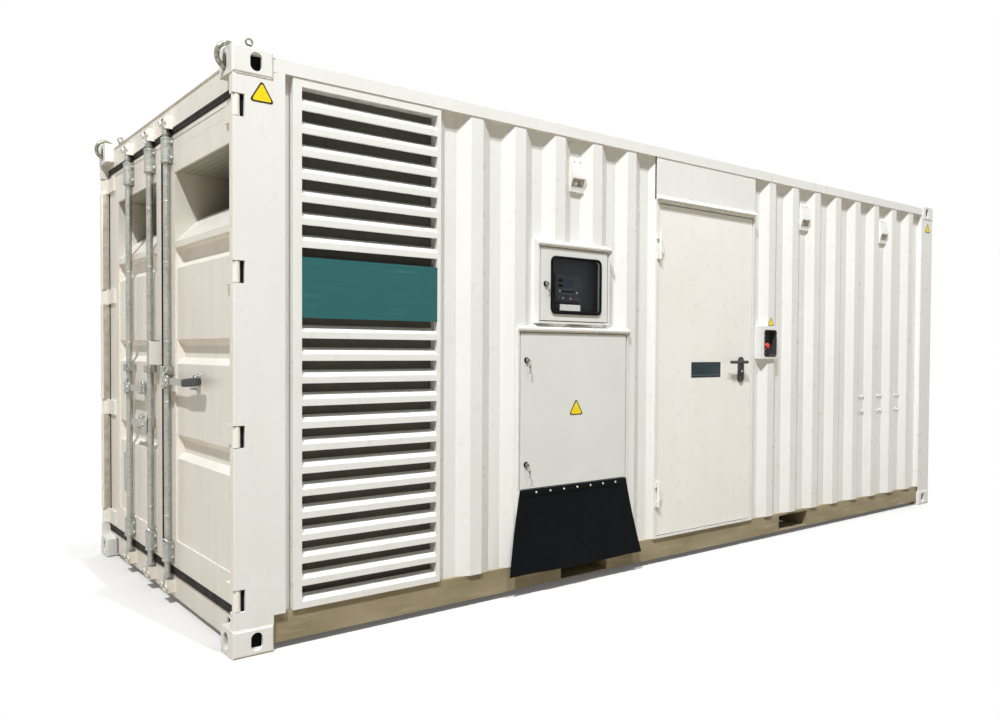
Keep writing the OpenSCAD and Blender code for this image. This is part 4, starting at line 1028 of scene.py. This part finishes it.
class GENSET_OT_shades(Step, bpy.types.Operator):
    """Back the castings' holes, the hinge pockets and the sill's notches with near-black plates of painted
    shade
    """

    bl_idname = "genset.shades"
    bl_label = "Dark sockets"

    def execute(self, context):
        parts = []
        # Near-black plates inside the castings behind their side and end holes: painted shade in the hollow
        # castings.
        side_back, end_back = slab(140, 84, 2, 8, 0.4), slab(120, 84, 2, 8, 0.4)
        half_x, half_y = CASTING[0] / 2, CASTING[1] / 2
        for z in (BASE[2] + HOLE_Z, TOP[2] - HOLE_Z):
            for x in (BASE[0] + half_x, TOP[0] - half_x):
                parts.append(on_side(side_back, (x, BASE[1] + 34, z)))
                parts.append(placed(side_back, (x, TOP[1] - 34, z), (-1, 0, 0), (0, 0, 1)))
            for y in (BASE[1] + half_y, TOP[1] - half_y):
                parts.append(on_end(end_back, (BASE[0] + 40, y, z)))
                parts.append(placed(end_back, (TOP[0] - 40, y, z), (0, 1, 0), (0, 0, 1)))
        # Notches of the sill beside the bottom castings, backed with painted shade.
        sill = low("door_sill")
        for y in (BASE[1] + CASTING[1] + 30, TOP[1] - CASTING[1] - 30):
            parts.append(on_end(slab(66, 104, 2, 2, 0.4), (sill[0] + 10, y, sill[2] + 44)))
        # Pockets of the near post behind the hinge knuckles, at the four hinge levels, backed with painted
        # shade.
        levels = np.linspace(low("near_cargo_door")[2] + 58, high("near_cargo_door")[2] - 44, 4)
        for z in levels:
            parts.append(on_side(slab(13, 94, 1.5, 1, 0.3), (BASE[0] + 47, BASE[1] + 19, z)))
        piece("painted_shade_backings", joined(*parts), "painted_shade_black", "container")
        # Brown painted shade in the far post's channel, along the header's top and under the casting.
        drop = levels[1] - levels[0] - 100
        lines = [on_side(slab(32, drop, 1, 2, 0.3), (BASE[0] + 27, TOP[1] - 44, z))
                 for z in (levels[1:] + levels[:-1]) / 2]
        lo, hi = low("door_header"), high("door_header")
        lines.append(on_end(slab(hi[1] - lo[1], 14, 1.2, 1, 0.3), (lo[0], 0, hi[2] - 8)))
        lines.append(on_side(slab(158, 4, 1.2, 1, 0.3), (BASE[0] + 98, BASE[1] + 4, TOP[2] - 120)))
        piece("brown_shade_lines", joined(*lines), "brown_painted_shade", "container")
        return {"FINISHED"}


class GENSET_OT_shackles(Step, bpy.types.Operator):
    """Hang a bow shackle in each of the door end's two top castings, with its screw pin's eye standing over
    it
    """

    bl_idname = "genset.shackles"
    bl_label = "Shackles"

    def execute(self, context):
        bows, pins = [], []
        a = full_turn(48)
        for y in (low("lifting_shackles")[1] + 12, high("lifting_shackles")[1] - 12):
            # Bow: a loop 5 per cent taller than wide that runs through the end hole and the top one.
            path = np.stack([50 * np.cos(a), 4 * np.sin(2 * a), 52.5 * np.sin(a)], -1)
            path = path + [BASE[0] + 18, y, TOP[2] - 30]
            bows.append(swept(path, circle(11.5, 16), closed=True, scale=1 + 0.06 * np.cos(a)))
            # Pin: a stem in the top hole, a collar and an open eye.
            foot = np.array([BASE[0] + 104, y, TOP[2] - 40])
            pins.append(placed(turned([(8, 0), (8, 68), (12, 69), (12, 75), (7, 77)], 20), foot))
            pins.append(tube(arc(foot + [0, 0, 88], 14, 0, 2 * math.pi, 31)[:-1], 4.6, 10, True))
        thing = piece("shackle_bows", joined(*bows), "shackle_steel", "container")
        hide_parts("lifting_shackles")
        piece("shackle_pins", joined(*pins), "shackle_steel", "container")
        return {"FINISHED"}


class GENSET_OT_leaf_details(Step, bpy.types.Operator):
    """Add the cargo leaves' gasket bands, top rails, plate and weld lines, and the lock box's mouth"""

    bl_idname = "genset.leaf_details"
    bl_label = "Cargo door details"

    def execute(self, context):
        near_lo, near_hi = low("near_cargo_door"), high("near_cargo_door")
        far_lo, far_hi = low("far_cargo_door"), high("far_cargo_door")
        # Gasket bands: a strip with two rolled lips over each gap round the leaves.
        seam = near_hi[1] + 2
        tall, z = near_hi[2] - near_lo[2] + 96, (near_hi[2] + near_lo[2]) / 2 + 9
        upright = dict(x=(0, 0, 1), y=(0, 1, 0))
        for name, y0, y1 in (("near", near_lo[1] + 41, seam + 4), ("far", seam + 13, far_hi[1] - 41)):
            body = f"{name}_cargo_door_leaf"
            wide, y = y1 - y0, (y0 + y1) / 2
            parts = [on_end(lipped(wide, 37), (LEAF_X, y, near_hi[2] + 42)),
                     on_end(lipped(wide, 42), (LEAF_X, y, near_lo[2] - 19))]
            rail = on_end(slab(wide - 8, 32, 6, 2, 1), (LEAF_X + 6, y, near_hi[2] + 12))
            piece(f"{name}_leaf_top_rail", rail, "door_enamel", body)
            edge = y0 + 6 if name == "near" else y1 - 6
            parts.append(placed(lipped(tall, 12), (LEAF_X, edge, z), **upright))
            if name == "near":
                parts.append(placed(lipped(tall, 20), (LEAF_X, y1 - 10, z), **upright))
            piece(f"{name}_gasket_bands", joined(*parts), "black_rubber", body)
        # Lock box's shadowed mouth, over the seam of the leaves.
        mouth_z = TOP[2] - 1237
        mouth_at = (BASE[0] + 27, far_lo[1] + 39, mouth_z)
        mouth = placed(slab(66, 30, 3, 4, 1), mouth_at, (0, 1, 0), (-1, 0, 0))
        piece("lock_box_mouth", mouth, "black_rubber", "far_cargo_door_leaf")
        # Slim grey plate low on the far leaf.
        plate_z = 564
        plate_at = (LEAF_X + 8, joint_at("far_outer_rod")[1] + 228, plate_z)
        grey = on_end(slab(58, 234, 3, 3, 0.8), plate_at)
        piece("leaf_plate", grey, "galvanised_steel", "far_cargo_door_leaf")
        # Weld lines along the pressed panels' upper and lower edges.
        for name, y0, y1 in (("near", near_lo[1] + 140, near_lo[1] + 979),
                             ("far", far_hi[1] - 1112, far_hi[1] - 272)):
            y = np.linspace(y0, y1, 90)
            parts = []
            for z in (near_lo[2] + 141, near_hi[2] - 52):
                path = np.stack([np.full(90, LEAF_X + 1.0), y, z + 0.8 * np.sin(y / 9.0)], -1)
                parts.append(tube(path, 1.6, 6))
            body = f"{name}_cargo_door_leaf"
            piece(f"{name}_leaf_welds", joined(*parts), "door_enamel", body)
        return {"FINISHED"}


# ---------------------------------------------------------------- cabinets' side
class GENSET_OT_signs(Step, bpy.types.Operator):
    """Stick the bare warning triangles and the bare data plate on"""

    bl_idname = "genset.signs"
    bl_label = "Signs"

    def execute(self, context):
        side = context.scene.genset_sizes.sign * 1000
        power, stop = middle("power_door"), (low("stop_box")[0] + 134, high("stop_box")[2] + 32)
        # Where each triangle sits, its share of the sign's size and its body.
        spots = (
            (power[0], low("power_door")[1] + 8, power[2] + 5, 1.0, "power_cabinet_door"),
            (BASE[0] + 128, low("door_end_posts")[1], TOP[2] - 184, 1.04, "container"),
            (TOP[0] - 86, low("front_posts")[1], TOP[2] - 190, 0.9, "container"),
            (stop[0], low("near_wall_front")[1], stop[1], 0.68, "container"),
        )
        for i, (x, y, z, share, body) in enumerate(spots):
            scale = side * share
            z -= scale * 0.09
            back = plate(triangle(scale, 9 * share), 1.0, 0.4)
            front = plate(triangle(scale * 0.80, 6 * share), 0.6, 0.3)
            piece(f"warning_border_{i + 1}", on_side(back, (x, y, z)), "sign_black", body)
            piece(f"warning_face_{i + 1}", on_side(front, (x, y - 0.9, z)), "sign_yellow", body)
        # Data plate on the service door, bare apart from one raised line near its foot.
        x, y = low("service_door")[0] + 466, high("service_door")[1] - 44
        plate_z = 1201
        sheet = on_side(slab(291, 100, 1.2, 4, 0.4), (x, y, plate_z))
        piece("data_plate", sheet, "info_film", "service_door_leaf")
        line = on_side(slab(279, 1.6, 0.5, 0.5, 0.2), (x, y - 1.1, plate_z - 35))
        piece("data_plate_line", line, "legend_grey", "service_door_leaf")
        return {"FINISHED"}


def lock_bezel():
    """Cam lock's bezel: a shoulder and a tall collar turned from a profile."""
    foot = [(11.2, 0), (15.5, 0), (16, 1.2), (15, 3.2), (12.6, 4.4)]
    return turned(foot + [(11.4, 9.4), (10.4, 10), (9.4, 9.4), (9.2, 8.2)], 28)


def lock_keys(x, y, z):
    """Key in a lock, and a second key that hangs from it on a ring."""
    bow = placed(plate(circle(10, 22) * [1, 0.86], 2.4, 0.5), (x + 1.2, y - 21, z), (0, -1, 0), (0, 0, 1))
    shank = placed(slab(7, 16, 2.2, 1, 0.4), (x + 1.1, y - 11, z), (0, 0, 1), (0, 1, 0))
    loop = arc((x + 4, y - 26, z - 13), 12, 0, 2 * math.pi, 29, (0.5, 0.2, 0), (0, 0, 1))[:-1]
    hang = dict(x=(0.93, 0.37, 0), y=(0.12, -0.3, 0.94))
    key = placed(slab(17, 20, 2.2, 7, 0.5), (x + 8, y - 24, z - 33), **hang)
    blade = placed(slab(6, 34, 2.0, 1, 0.4), (x + 10, y - 22, z - 56), **hang)
    return joined(bow, shank, tube(loop, 1.1, 8, True), key, blade)


class GENSET_OT_locks(Step, bpy.types.Operator):
    """Put locks with hanging keys in the cabinet doors"""

    bl_idname = "genset.locks"
    bl_label = "Cabinet locks"

    def execute(self, context):
        control, power = low("control_door") + [34, 8, 0], low("power_door") + [38, 8, 0]
        barrel = turned([(9.3, 0), (9.3, 9.2), (8.6, 9.8), (2.0, 9.6)], 20)
        spots = (
            ("control", *control[:2], middle("control_door")[2], "control_cabinet_door"),
            ("power_low", *power[:2], power[2] + 131, "power_cabinet_door"),
            ("power_high", *power[:2], high("power_door")[2] - 147, "power_cabinet_door"),
        )
        for name, x, y, z, body in spots:
            piece(f"{name}_lock_bezel", on_side(lock_bezel(), (x, y, z)), "gloss_black", body)
            piece(f"{name}_lock_barrel", on_side(barrel, (x, y, z)), "bright_zinc", body)
            piece(f"{name}_keys", lock_keys(x, y, z), "shackle_steel", body)
        return {"FINISHED"}


class GENSET_OT_window(Step, bpy.types.Operator):
    """Edge the control window with a rounded rubber section"""

    bl_idname = "genset.window"
    bl_label = "Control window"

    def execute(self, context):
        lo, hi = low("control_window"), high("control_window")
        band = 16.0
        u, v = rounded(hi[0] - lo[0] - band, hi[2] - lo[2] - band, 26, 12).T
        path = np.stack([u + (lo[0] + hi[0]) / 2, np.full(len(u), hi[1] - 3.5), v + (lo[2] + hi[2]) / 2], -1)
        # Section: an oval, a little squarer than an ellipse, laid square to the path.
        a = full_turn(18)
        section = np.stack([8.2 * np.cos(a), 5.2 * np.sign(np.sin(a)) * np.abs(np.sin(a)) ** 0.8], -1)
        way = np.roll(path, -1, 0) - np.roll(path, 1, 0)
        way /= np.linalg.norm(way, axis=1)[:, None]
        out = np.array([0.0, 1.0, 0.0])
        rows = path[:, None] + section[None, :, :1] * np.cross(way, out)[:, None] + section[None, :, 1:] * out
        rubber = piece("window_rubber", looped(rows), "gloss_black", "control_cabinet_door")
        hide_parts("control_window")
        return {"FINISHED"}


# Printed lines on the controller's face: across, down and length in millimetres.
LEGENDS = ((0.19, 0.05, 56), (0.82, 0.13, 38), (0.47, 0.55, 92), (0.47, 0.69, 92),
           (0.9, 0.27, 12), (0.9, 0.36, 14), (0.9, 0.46, 12))
# Lamps and buttons on the controller's face by finish: across and down.
LAMPS = {
    "red_plastic": [(0.15, 0.85), (0.74, 0.87)],
    "white_plastic": [(0.29, 0.86), (0.59, 0.87), (0.84, 0.65), (0.17, 0.61)],
    "green_plastic": [(0.89, 0.88)],
}


class GENSET_OT_controller(Step, bpy.types.Operator):
    """Dress the controller with its screen, keys and lamps"""

    bl_idname = "genset.controller"
    bl_label = "Controller"

    def execute(self, context):
        w_lo, w_hi = low("control_window"), high("control_window")
        face = low("controller")[1]
        # The controller's own face, well inside the window's edges.
        x0, x1 = w_lo[0] + 72, w_hi[0] - 116
        z0, z1 = w_lo[2] + 72, w_hi[2] - 92

        def spot(part, u, v, out=4.0):
            """A part on the face, at shares of its width and height, standing out of it."""
            return on_side(part, (x0 + u * (x1 - x0), face - out, z1 - v * (z1 - z0)))

        body = spot(slab(x1 - x0, z1 - z0, 4, 5, 1.5), 0.5, 0.5, 0.0)
        piece("controller_bezel", body, "black_plastic", "container")
        piece("controller_screen", spot(slab(62, 42, 1.2, 2, 0.4), 0.56, 0.34), "screen_glass", "container")
        keys = [spot(slab(34, 16, 2, 2, 0.7), 0.2, v) for v in (0.24, 0.42)]
        keys.append(spot(slab(96, 10, 1.2, 2, 0.4), 0.47, 0.62))
        piece("controller_keys", joined(*keys), "gloss_black", "container")
        lines = [spot(slab(w, 1.4, 0.5, 0.5, 0.2), u, v) for u, v, w in LEGENDS]
        piece("controller_legends", joined(*lines), "legend_grey", "container")
        cap = turned([(5.6, 0), (5.6, 1.6), (4.9, 2.4), (1.5, 2.6)], 16)
        for finish_name, places in LAMPS.items():
            name = f"controller_{finish_name.split('_')[0]}_lamps"
            piece(name, joined(*[spot(cap, u, v) for u, v in places]), finish_name, "container")
        label = on_side(slab(150, 34, 1, 2, 0.4), (x0 + 66, low("control_glass")[1], z0 - 34))
        piece("controller_label", label, "bright_zinc", "control_cabinet_door")
        back = high("controller")[1] - 3
        screws = [on_side(dome(4, 2.2), (x, back, z))
                  for x in (w_lo[0] - 20, w_hi[0] + 20) for z in (w_lo[2] - 10, w_hi[2] + 10)]
        piece("controller_screws", joined(*screws), "bright_zinc", "container")
        return {"FINISHED"}


class GENSET_OT_skirt(Step, bpy.types.Operator):
    """Hang the rubber skirt from its clamping bar"""

    bl_idname = "genset.skirt"
    bl_label = "Cable skirt"

    def execute(self, context):
        lo, hi = low("cable_skirt"), high("cable_skirt")
        top0, top1 = low("power_door")[0], high("power_door")[0]
        # Sheet: width and depth both grow down the drop t; it bows out as t to the 1.6, with slow
        # upright folds that grow with t and a corner that curls forward at each end.
        u, t = np.meshgrid(np.linspace(0, 1, 73), np.linspace(0, 1, 41), indexing="ij")
        left = top0 + (lo[0] - top0) * t
        right = top1 + (hi[0] - top1) * t
        x = left + (right - left) * u
        wave = np.sin(2 * math.pi * (1.6 * u + 0.15)) + 0.45 * np.sin(2 * math.pi * (4.3 * u + 0.5 * t))
        curl = 5.0 * t ** 2 * (2 * np.abs(u - 0.5)) ** 6
        y = hi[1] - 3.0 - (hi[1] - lo[1] - 8) * t ** 1.6 + 3.4 * t ** 1.4 * wave - curl
        z = hi[2] - (hi[2] - lo[2]) * t + 4.0 * t * np.cos(2 * math.pi * (u - 0.08)) - 4.0 * t
        points = np.stack([x, y, z], -1)
        skin = (points.reshape(-1, 3), grid_faces(*u.shape)[:, ::-1].tolist())
        layers = [("SOLIDIFY", {"thickness": 0.004, "offset": 0.0})]
        sheet = piece("rubber_skirt", skin, "skirt_rubber", "container", layers, sheet=True)
        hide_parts("cable_skirt")
        bar = slab(top1 - top0 - 4, 34, 5, 3, 1.2)
        bar = on_side(bar, ((top0 + top1) / 2, hi[1] - 4.5, hi[2] - 18))
        piece("skirt_bar", bar, "skirt_rubber", "container")
        first, pitch, count = top0 + 106, 99, 7
        heads = [on_side(dome(6.5, 4, 18), (first + i * pitch, hi[1] - 9.2, hi[2] - 17))
                 for i in range(count)]
        piece("skirt_rivets", joined(*heads), "bright_zinc", "container")
        return {"FINISHED"}


class GENSET_OT_service_door(Step, bpy.types.Operator):
    """Finish the service door with hinge pins, the lever's rose, a key cylinder and its seal"""

    bl_idname = "genset.service_door"
    bl_label = "Service door"

    def execute(self, context):
        body = "service_door_leaf"
        lo, hi = low("service_door"), high("service_door")
        x, y, z = middle("lock_plate")[0], low("lock_plate")[1], middle("service_lever")[2]
        rose = turned([(9.6, 0), (19, 0), (19.6, 2), (17, 5), (11.5, 7.5), (9.6, 8)], 28)
        piece("lever_rose", on_side(rose, (x, y, z)), "black_plastic", body)
        barrel = turned([(8.4, 0), (8.4, 6), (7.6, 7), (1.5, 7)], 20)
        piece("key_cylinder", on_side(barrel, (x + 2, y, z - 62)), "bright_zinc", body)
        piece("key_slot", on_side(slab(3, 10, 1.2, 1, 0.3), (x + 2, y - 6.6, z - 62)), "gloss_black", body)
        # Pins: a domed head over and under each of the two hinges.
        pin_x, pin_y = joint_at(body)[:2]
        levels = (lo[2] + 260, hi[2] - 260)
        heads = [placed(dome(8, 4), (pin_x, pin_y, level + 79.5)) for level in levels]
        heads += [placed(dome(8, 4), (pin_x, pin_y, level - 79.5), y=(0, -1, 0)) for level in levels]
        piece("service_hinge_pins", joined(*heads), "white_enamel", "container")
        # Seal: a round bead in the gap round the leaf.
        left = lo[0] + 13
        u, v = rounded(hi[0] - left + 5.0, hi[2] - lo[2] + 5.0, 6, 4).T
        path = np.stack([u + (left + hi[0]) / 2, np.full(len(u), hi[1] - 34), v + (lo[2] + hi[2]) / 2], -1)
        piece("service_seal", tube(path, 2.2, 8, True), "black_rubber", "container")
        return {"FINISHED"}


class GENSET_OT_stop_box(Step, bpy.types.Operator):
    """Dress the stop box with its yellow ring, ribbed cap, screws and bare label"""

    bl_idname = "genset.stop_box"
    bl_label = "Stop box"

    def execute(self, context):
        lo, hi = low("stop_panel"), high("stop_panel")
        x, _, z = middle("stop_button")
        back = hi[1] - 3
        ring = ringed([(16.6, 0), (30, 0), (30.4, 1), (29.4, 2), (16.6, 2)], 36)
        piece("stop_ring", on_side(ring, (x, back, z)), "yellow_plastic", "container")
        # Cap: its rim steps in and out ten times round, and its top is a low dome.
        a = full_turn(48)
        r = 18.6 + 0.7 * np.sign(np.sin(10 * a))
        rim = np.stack([r * np.cos(a), r * np.sin(a)], -1)
        rows = [lifted(rim * 0.96, 0), lifted(rim, 2), lifted(rim, 5), lifted(rim * 0.95, 7.4)]
        cap = loft(rows + [lifted(circle(13, 48), 9.6), lifted(circle(5, 48), 10.8)])
        cap = on_side(cap, (x, low("stop_button")[1] + 10.2, z))
        piece("stop_cap", cap, "red_plastic", "emergency_button")
        screws = [on_side(dome(3.6, 2), (sx, lo[1] + 0.2, sz))
                  for sx in (lo[0] + 3.4, hi[0] - 3.4) for sz in (lo[2] + 42, hi[2] - 42)]
        piece("stop_screws", joined(*screws), "bright_zinc", "container")
        label = on_side(slab(84, 15, 1, 2, 0.3), ((lo[0] + hi[0]) / 2 - 10, back, lo[2] + 24))
        piece("stop_label", label, "legend_grey", "container")
        return {"FINISHED"}


def prism(outline, wide):
    """An outline of (reach out of the wall, height) carried across a width."""
    outline = np.asarray(outline, float)
    reach, height = outline.T
    return loft([np.c_[np.full(len(outline), x), height, reach] for x in (-wide / 2, wide / 2)])


class GENSET_OT_lashing_pockets(Step, bpy.types.Operator):
    """Weld a lashing pocket into three of the wall's troughs"""

    bl_idname = "genset.lashing_pockets"
    bl_label = "Lashing pockets"

    def execute(self, context):
        lo, hi = low("wall_brackets"), high("wall_brackets")
        wide, tall, sheet = 100, hi[2] - lo[2], 7
        # Side view: a short lip below, a mouth, and a shoulder that slopes back to the wall.
        shoulder = [(35, 74), (35, 88), (10, tall), (0, tall)]
        cheek = prism([(0, 0), (15, 0), (15, 24), *shoulder], sheet)
        lip = [(0, 0), (15, 0), (15, 24), (17.4, 30), (0, 30)]
        inside = wide - 2 * sheet
        pocket = joined(prism([(0, 74), *shoulder], inside), prism(lip, inside),
                        placed(cheek, ((wide - sheet) / 2, 0, 0)), placed(cheek, ((sheet - wide) / 2, 0, 0)))
        # Brown plate at the back of each mouth: painted shade inside the pocket.
        mouth = slab(inside, 46, 1.5, 1, 0.3)
        bodies, mouths, bolts = [], [], []
        for k in (2, 10, 14):
            at = np.array([WAVE_X + (k + 0.5) * WAVE, hi[1] - 0.2, lo[2]])
            bodies.append(on_side(pocket, at))
            mouths.append(on_side(mouth, at + [0, -0.5, 52]))
            bolts += [on_side(hex_bolt(11, 5), at + [s * 22, -12, tall - 16]) for s in (-1, 1)]
            bolts.append(on_side(hex_bolt(14, 7), at + [0, -2, 50]))
        thing = piece("lashing_pockets", joined(*bodies), "white_enamel", "container")
        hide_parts("wall_brackets")
        piece("lashing_mouth_shades", joined(*mouths), "brown_painted_shade", "container")
        piece("lashing_bolts", joined(*bolts), "bright_zinc", "container")
        return {"FINISHED"}


class GENSET_OT_hood_soffits(Step, bpy.types.Operator):
    """Face the discharge hoods' soffits with perforated sheet and a row of dark domes, painted shade for
    holes
    """

    bl_idname = "genset.hood_soffits"
    bl_label = "Hood soffits"

    def execute(self, context):
        down = dict(x=(1, 0, 0), y=(0, -1, 0))
        for name in ("near", "far"):
            body = f"{name}_cargo_door_leaf"
            lo, hi = low(f"{name}_discharge_hood"), high(f"{name}_discharge_hood")
            x, y, _ = (lo + hi) / 2
            facing = slab(hi[0] - lo[0] - 14, hi[1] - lo[1] - 8, 1.5, 1, 0.3)
            sheet = placed(facing, (x + 2, y, hi[2] - 3.2), **down)
            piece(f"{name}_soffit", sheet, "perforated_facing", body)
            # Dark domes along the soffit's back edge: painted shade that stands for holes.
            pitch, count = 95, 8
            hole_shades = [placed(dome(7, 3), (hi[0] - 34, y + (k - (count - 1) / 2) * pitch, hi[2] - 4.6), **down)
                     for k in range(count)]
            piece(f"{name}_soffit_hole_shades", joined(*hole_shades), "painted_shade_black", body)
        return {"FINISHED"}


class GENSET_OT_wall_hardware(Step, bpy.types.Operator):
    """Put bolts in the troughs and rivets on the cover panel"""

    bl_idname = "genset.wall_hardware"
    bl_label = "Wall bolts and rivets"

    def execute(self, context):
        wall = high("near_wall_front")[1] - 3
        bolt = hex_bolt(context.scene.genset_sizes.bolt * 1000, 8)
        # Four bolts in the middle of each of the three troughs.
        troughs = [WAVE_X + (k + 0.5) * WAVE for k in (13, 14, 15)]
        bolts = [on_side(bolt, (x + s * 22, wall, z)) for x in troughs for s in (-1, 1) for z in (847, 967)]
        piece("trough_bolts", joined(*bolts), "bright_zinc", "container")
        lo, hi = low("service_door_cover"), high("service_door_cover")
        rivets = [on_side(dome(4.5, 2.4), (lo[0] + f * (hi[0] - lo[0]), lo[1] + 22, z))
                  for z in (lo[2] + 72, hi[2] - 22) for f in (0.04, 0.33, 0.62, 0.9)]
        piece("cover_rivets", joined(*rivets), "white_enamel", "container")
        return {"FINISHED"}


def bead(start, stop, radius=2.6):
    """Round bead whose radius swells a little at every ripple of the weld."""
    start, stop = np.array(start, float), np.array(stop, float)
    n = max(int(np.linalg.norm(stop - start) / 4), 6)
    t = np.linspace(0, 1, n)[:, None]
    ripple = 1 + 0.16 * np.sin(np.arange(n) * 1.9)
    return swept(start + (stop - start) * t, circle(radius, 6), scale=ripple)


class GENSET_OT_welds(Step, bpy.types.Operator):
    """Run weld beads between the castings, posts and rails"""

    bl_idname = "genset.welds"
    bl_label = "Weld beads"

    def execute(self, context):
        parts = []
        x0, x1 = BASE[0], TOP[0]
        # For each side: which way is inwards, its face, its bottom rail and its wall's crest.
        for inward, face, rail, crest in (
            (1, BASE[1], low("bottom_side_rails")[1], low("near_wall_front")[1]),
            (-1, TOP[1], high("bottom_side_rails")[1], high("far_wall")[1]),
        ):
            y = face + 5 * inward
            for z in (CASTING[2], TOP[2] - CASTING[2]):
                parts.append(bead((x0 + 6, y, z), (x0 + CASTING[0] - 4, y, z)))
                parts.append(bead((x1 - CASTING[0] + 4, y, z), (x1 - 6, y, z)))
            for z in (TOP[2] - 84, TOP[2] - 26):
                parts.append(bead((x0 + CASTING[0], y, z), (x0 + CASTING[0] + 12, y, z)))
            for x in (x0 + CASTING[0] + 1, x1 - CASTING[0] - 1):
                parts.append(bead((x, rail, 34), (x, rail, 116)))
            x, y = high("near_louvre")[0] + 2, crest + inward
            parts.append(bead((x, y, 160), (x, y, TOP[2] - 84), 2.0))
        piece("frame_welds", joined(*parts), "white_enamel", "container")
        return {"FINISHED"}


STEPS = [
    GENSET_OT_finishes,
    GENSET_OT_stage,
    GENSET_OT_lock_rods,
    GENSET_OT_handles,
    GENSET_OT_keepers,
    GENSET_OT_shades,
    GENSET_OT_shackles,
    GENSET_OT_leaf_details,
    GENSET_OT_signs,
    GENSET_OT_locks,
    GENSET_OT_window,
    GENSET_OT_controller,
    GENSET_OT_skirt,
    GENSET_OT_service_door,
    GENSET_OT_stop_box,
    GENSET_OT_lashing_pockets,
    GENSET_OT_hood_soffits,
    GENSET_OT_wall_hardware,
    GENSET_OT_welds,
]


class GENSET_PT_panel(bpy.types.Panel):
    """Lists the steps and what they can be given."""

    bl_idname = "GENSET_PT_panel"
    bl_label = "Generator set"
    bl_space_type = "VIEW_3D"
    bl_region_type = "UI"
    bl_category = "Generator set"

    def draw(self, context):
        for group in (context.scene.genset_sizes, context.scene.genset_colours):
            for key in group.bl_rna.properties.keys():
                if key not in ("rna_type", "name"):
                    self.layout.prop(group, key)
        for step in STEPS:
            self.layout.operator(step.bl_idname)


CLASSES = [GensetColours, GensetSizes, *STEPS, GENSET_PT_panel]


def register():
    """Registers the classes and hangs the two property groups on the scene."""
    for c in CLASSES:
        bpy.utils.register_class(c)
    bpy.types.Scene.genset_sizes = PointerProperty(type=GensetSizes)
    bpy.types.Scene.genset_colours = PointerProperty(type=GensetColours)


def unregister():
    """Takes the property groups and classes away again."""
    del bpy.types.Scene.genset_sizes, bpy.types.Scene.genset_colours
    for c in reversed(CLASSES):
        bpy.utils.unregister_class(c)


def main():
    """Runs every step in order."""
    register()
    for step in STEPS:
        group, name = step.bl_idname.split(".")
        getattr(getattr(bpy.ops, group), name)()


if __name__ == "__main__":
    main()
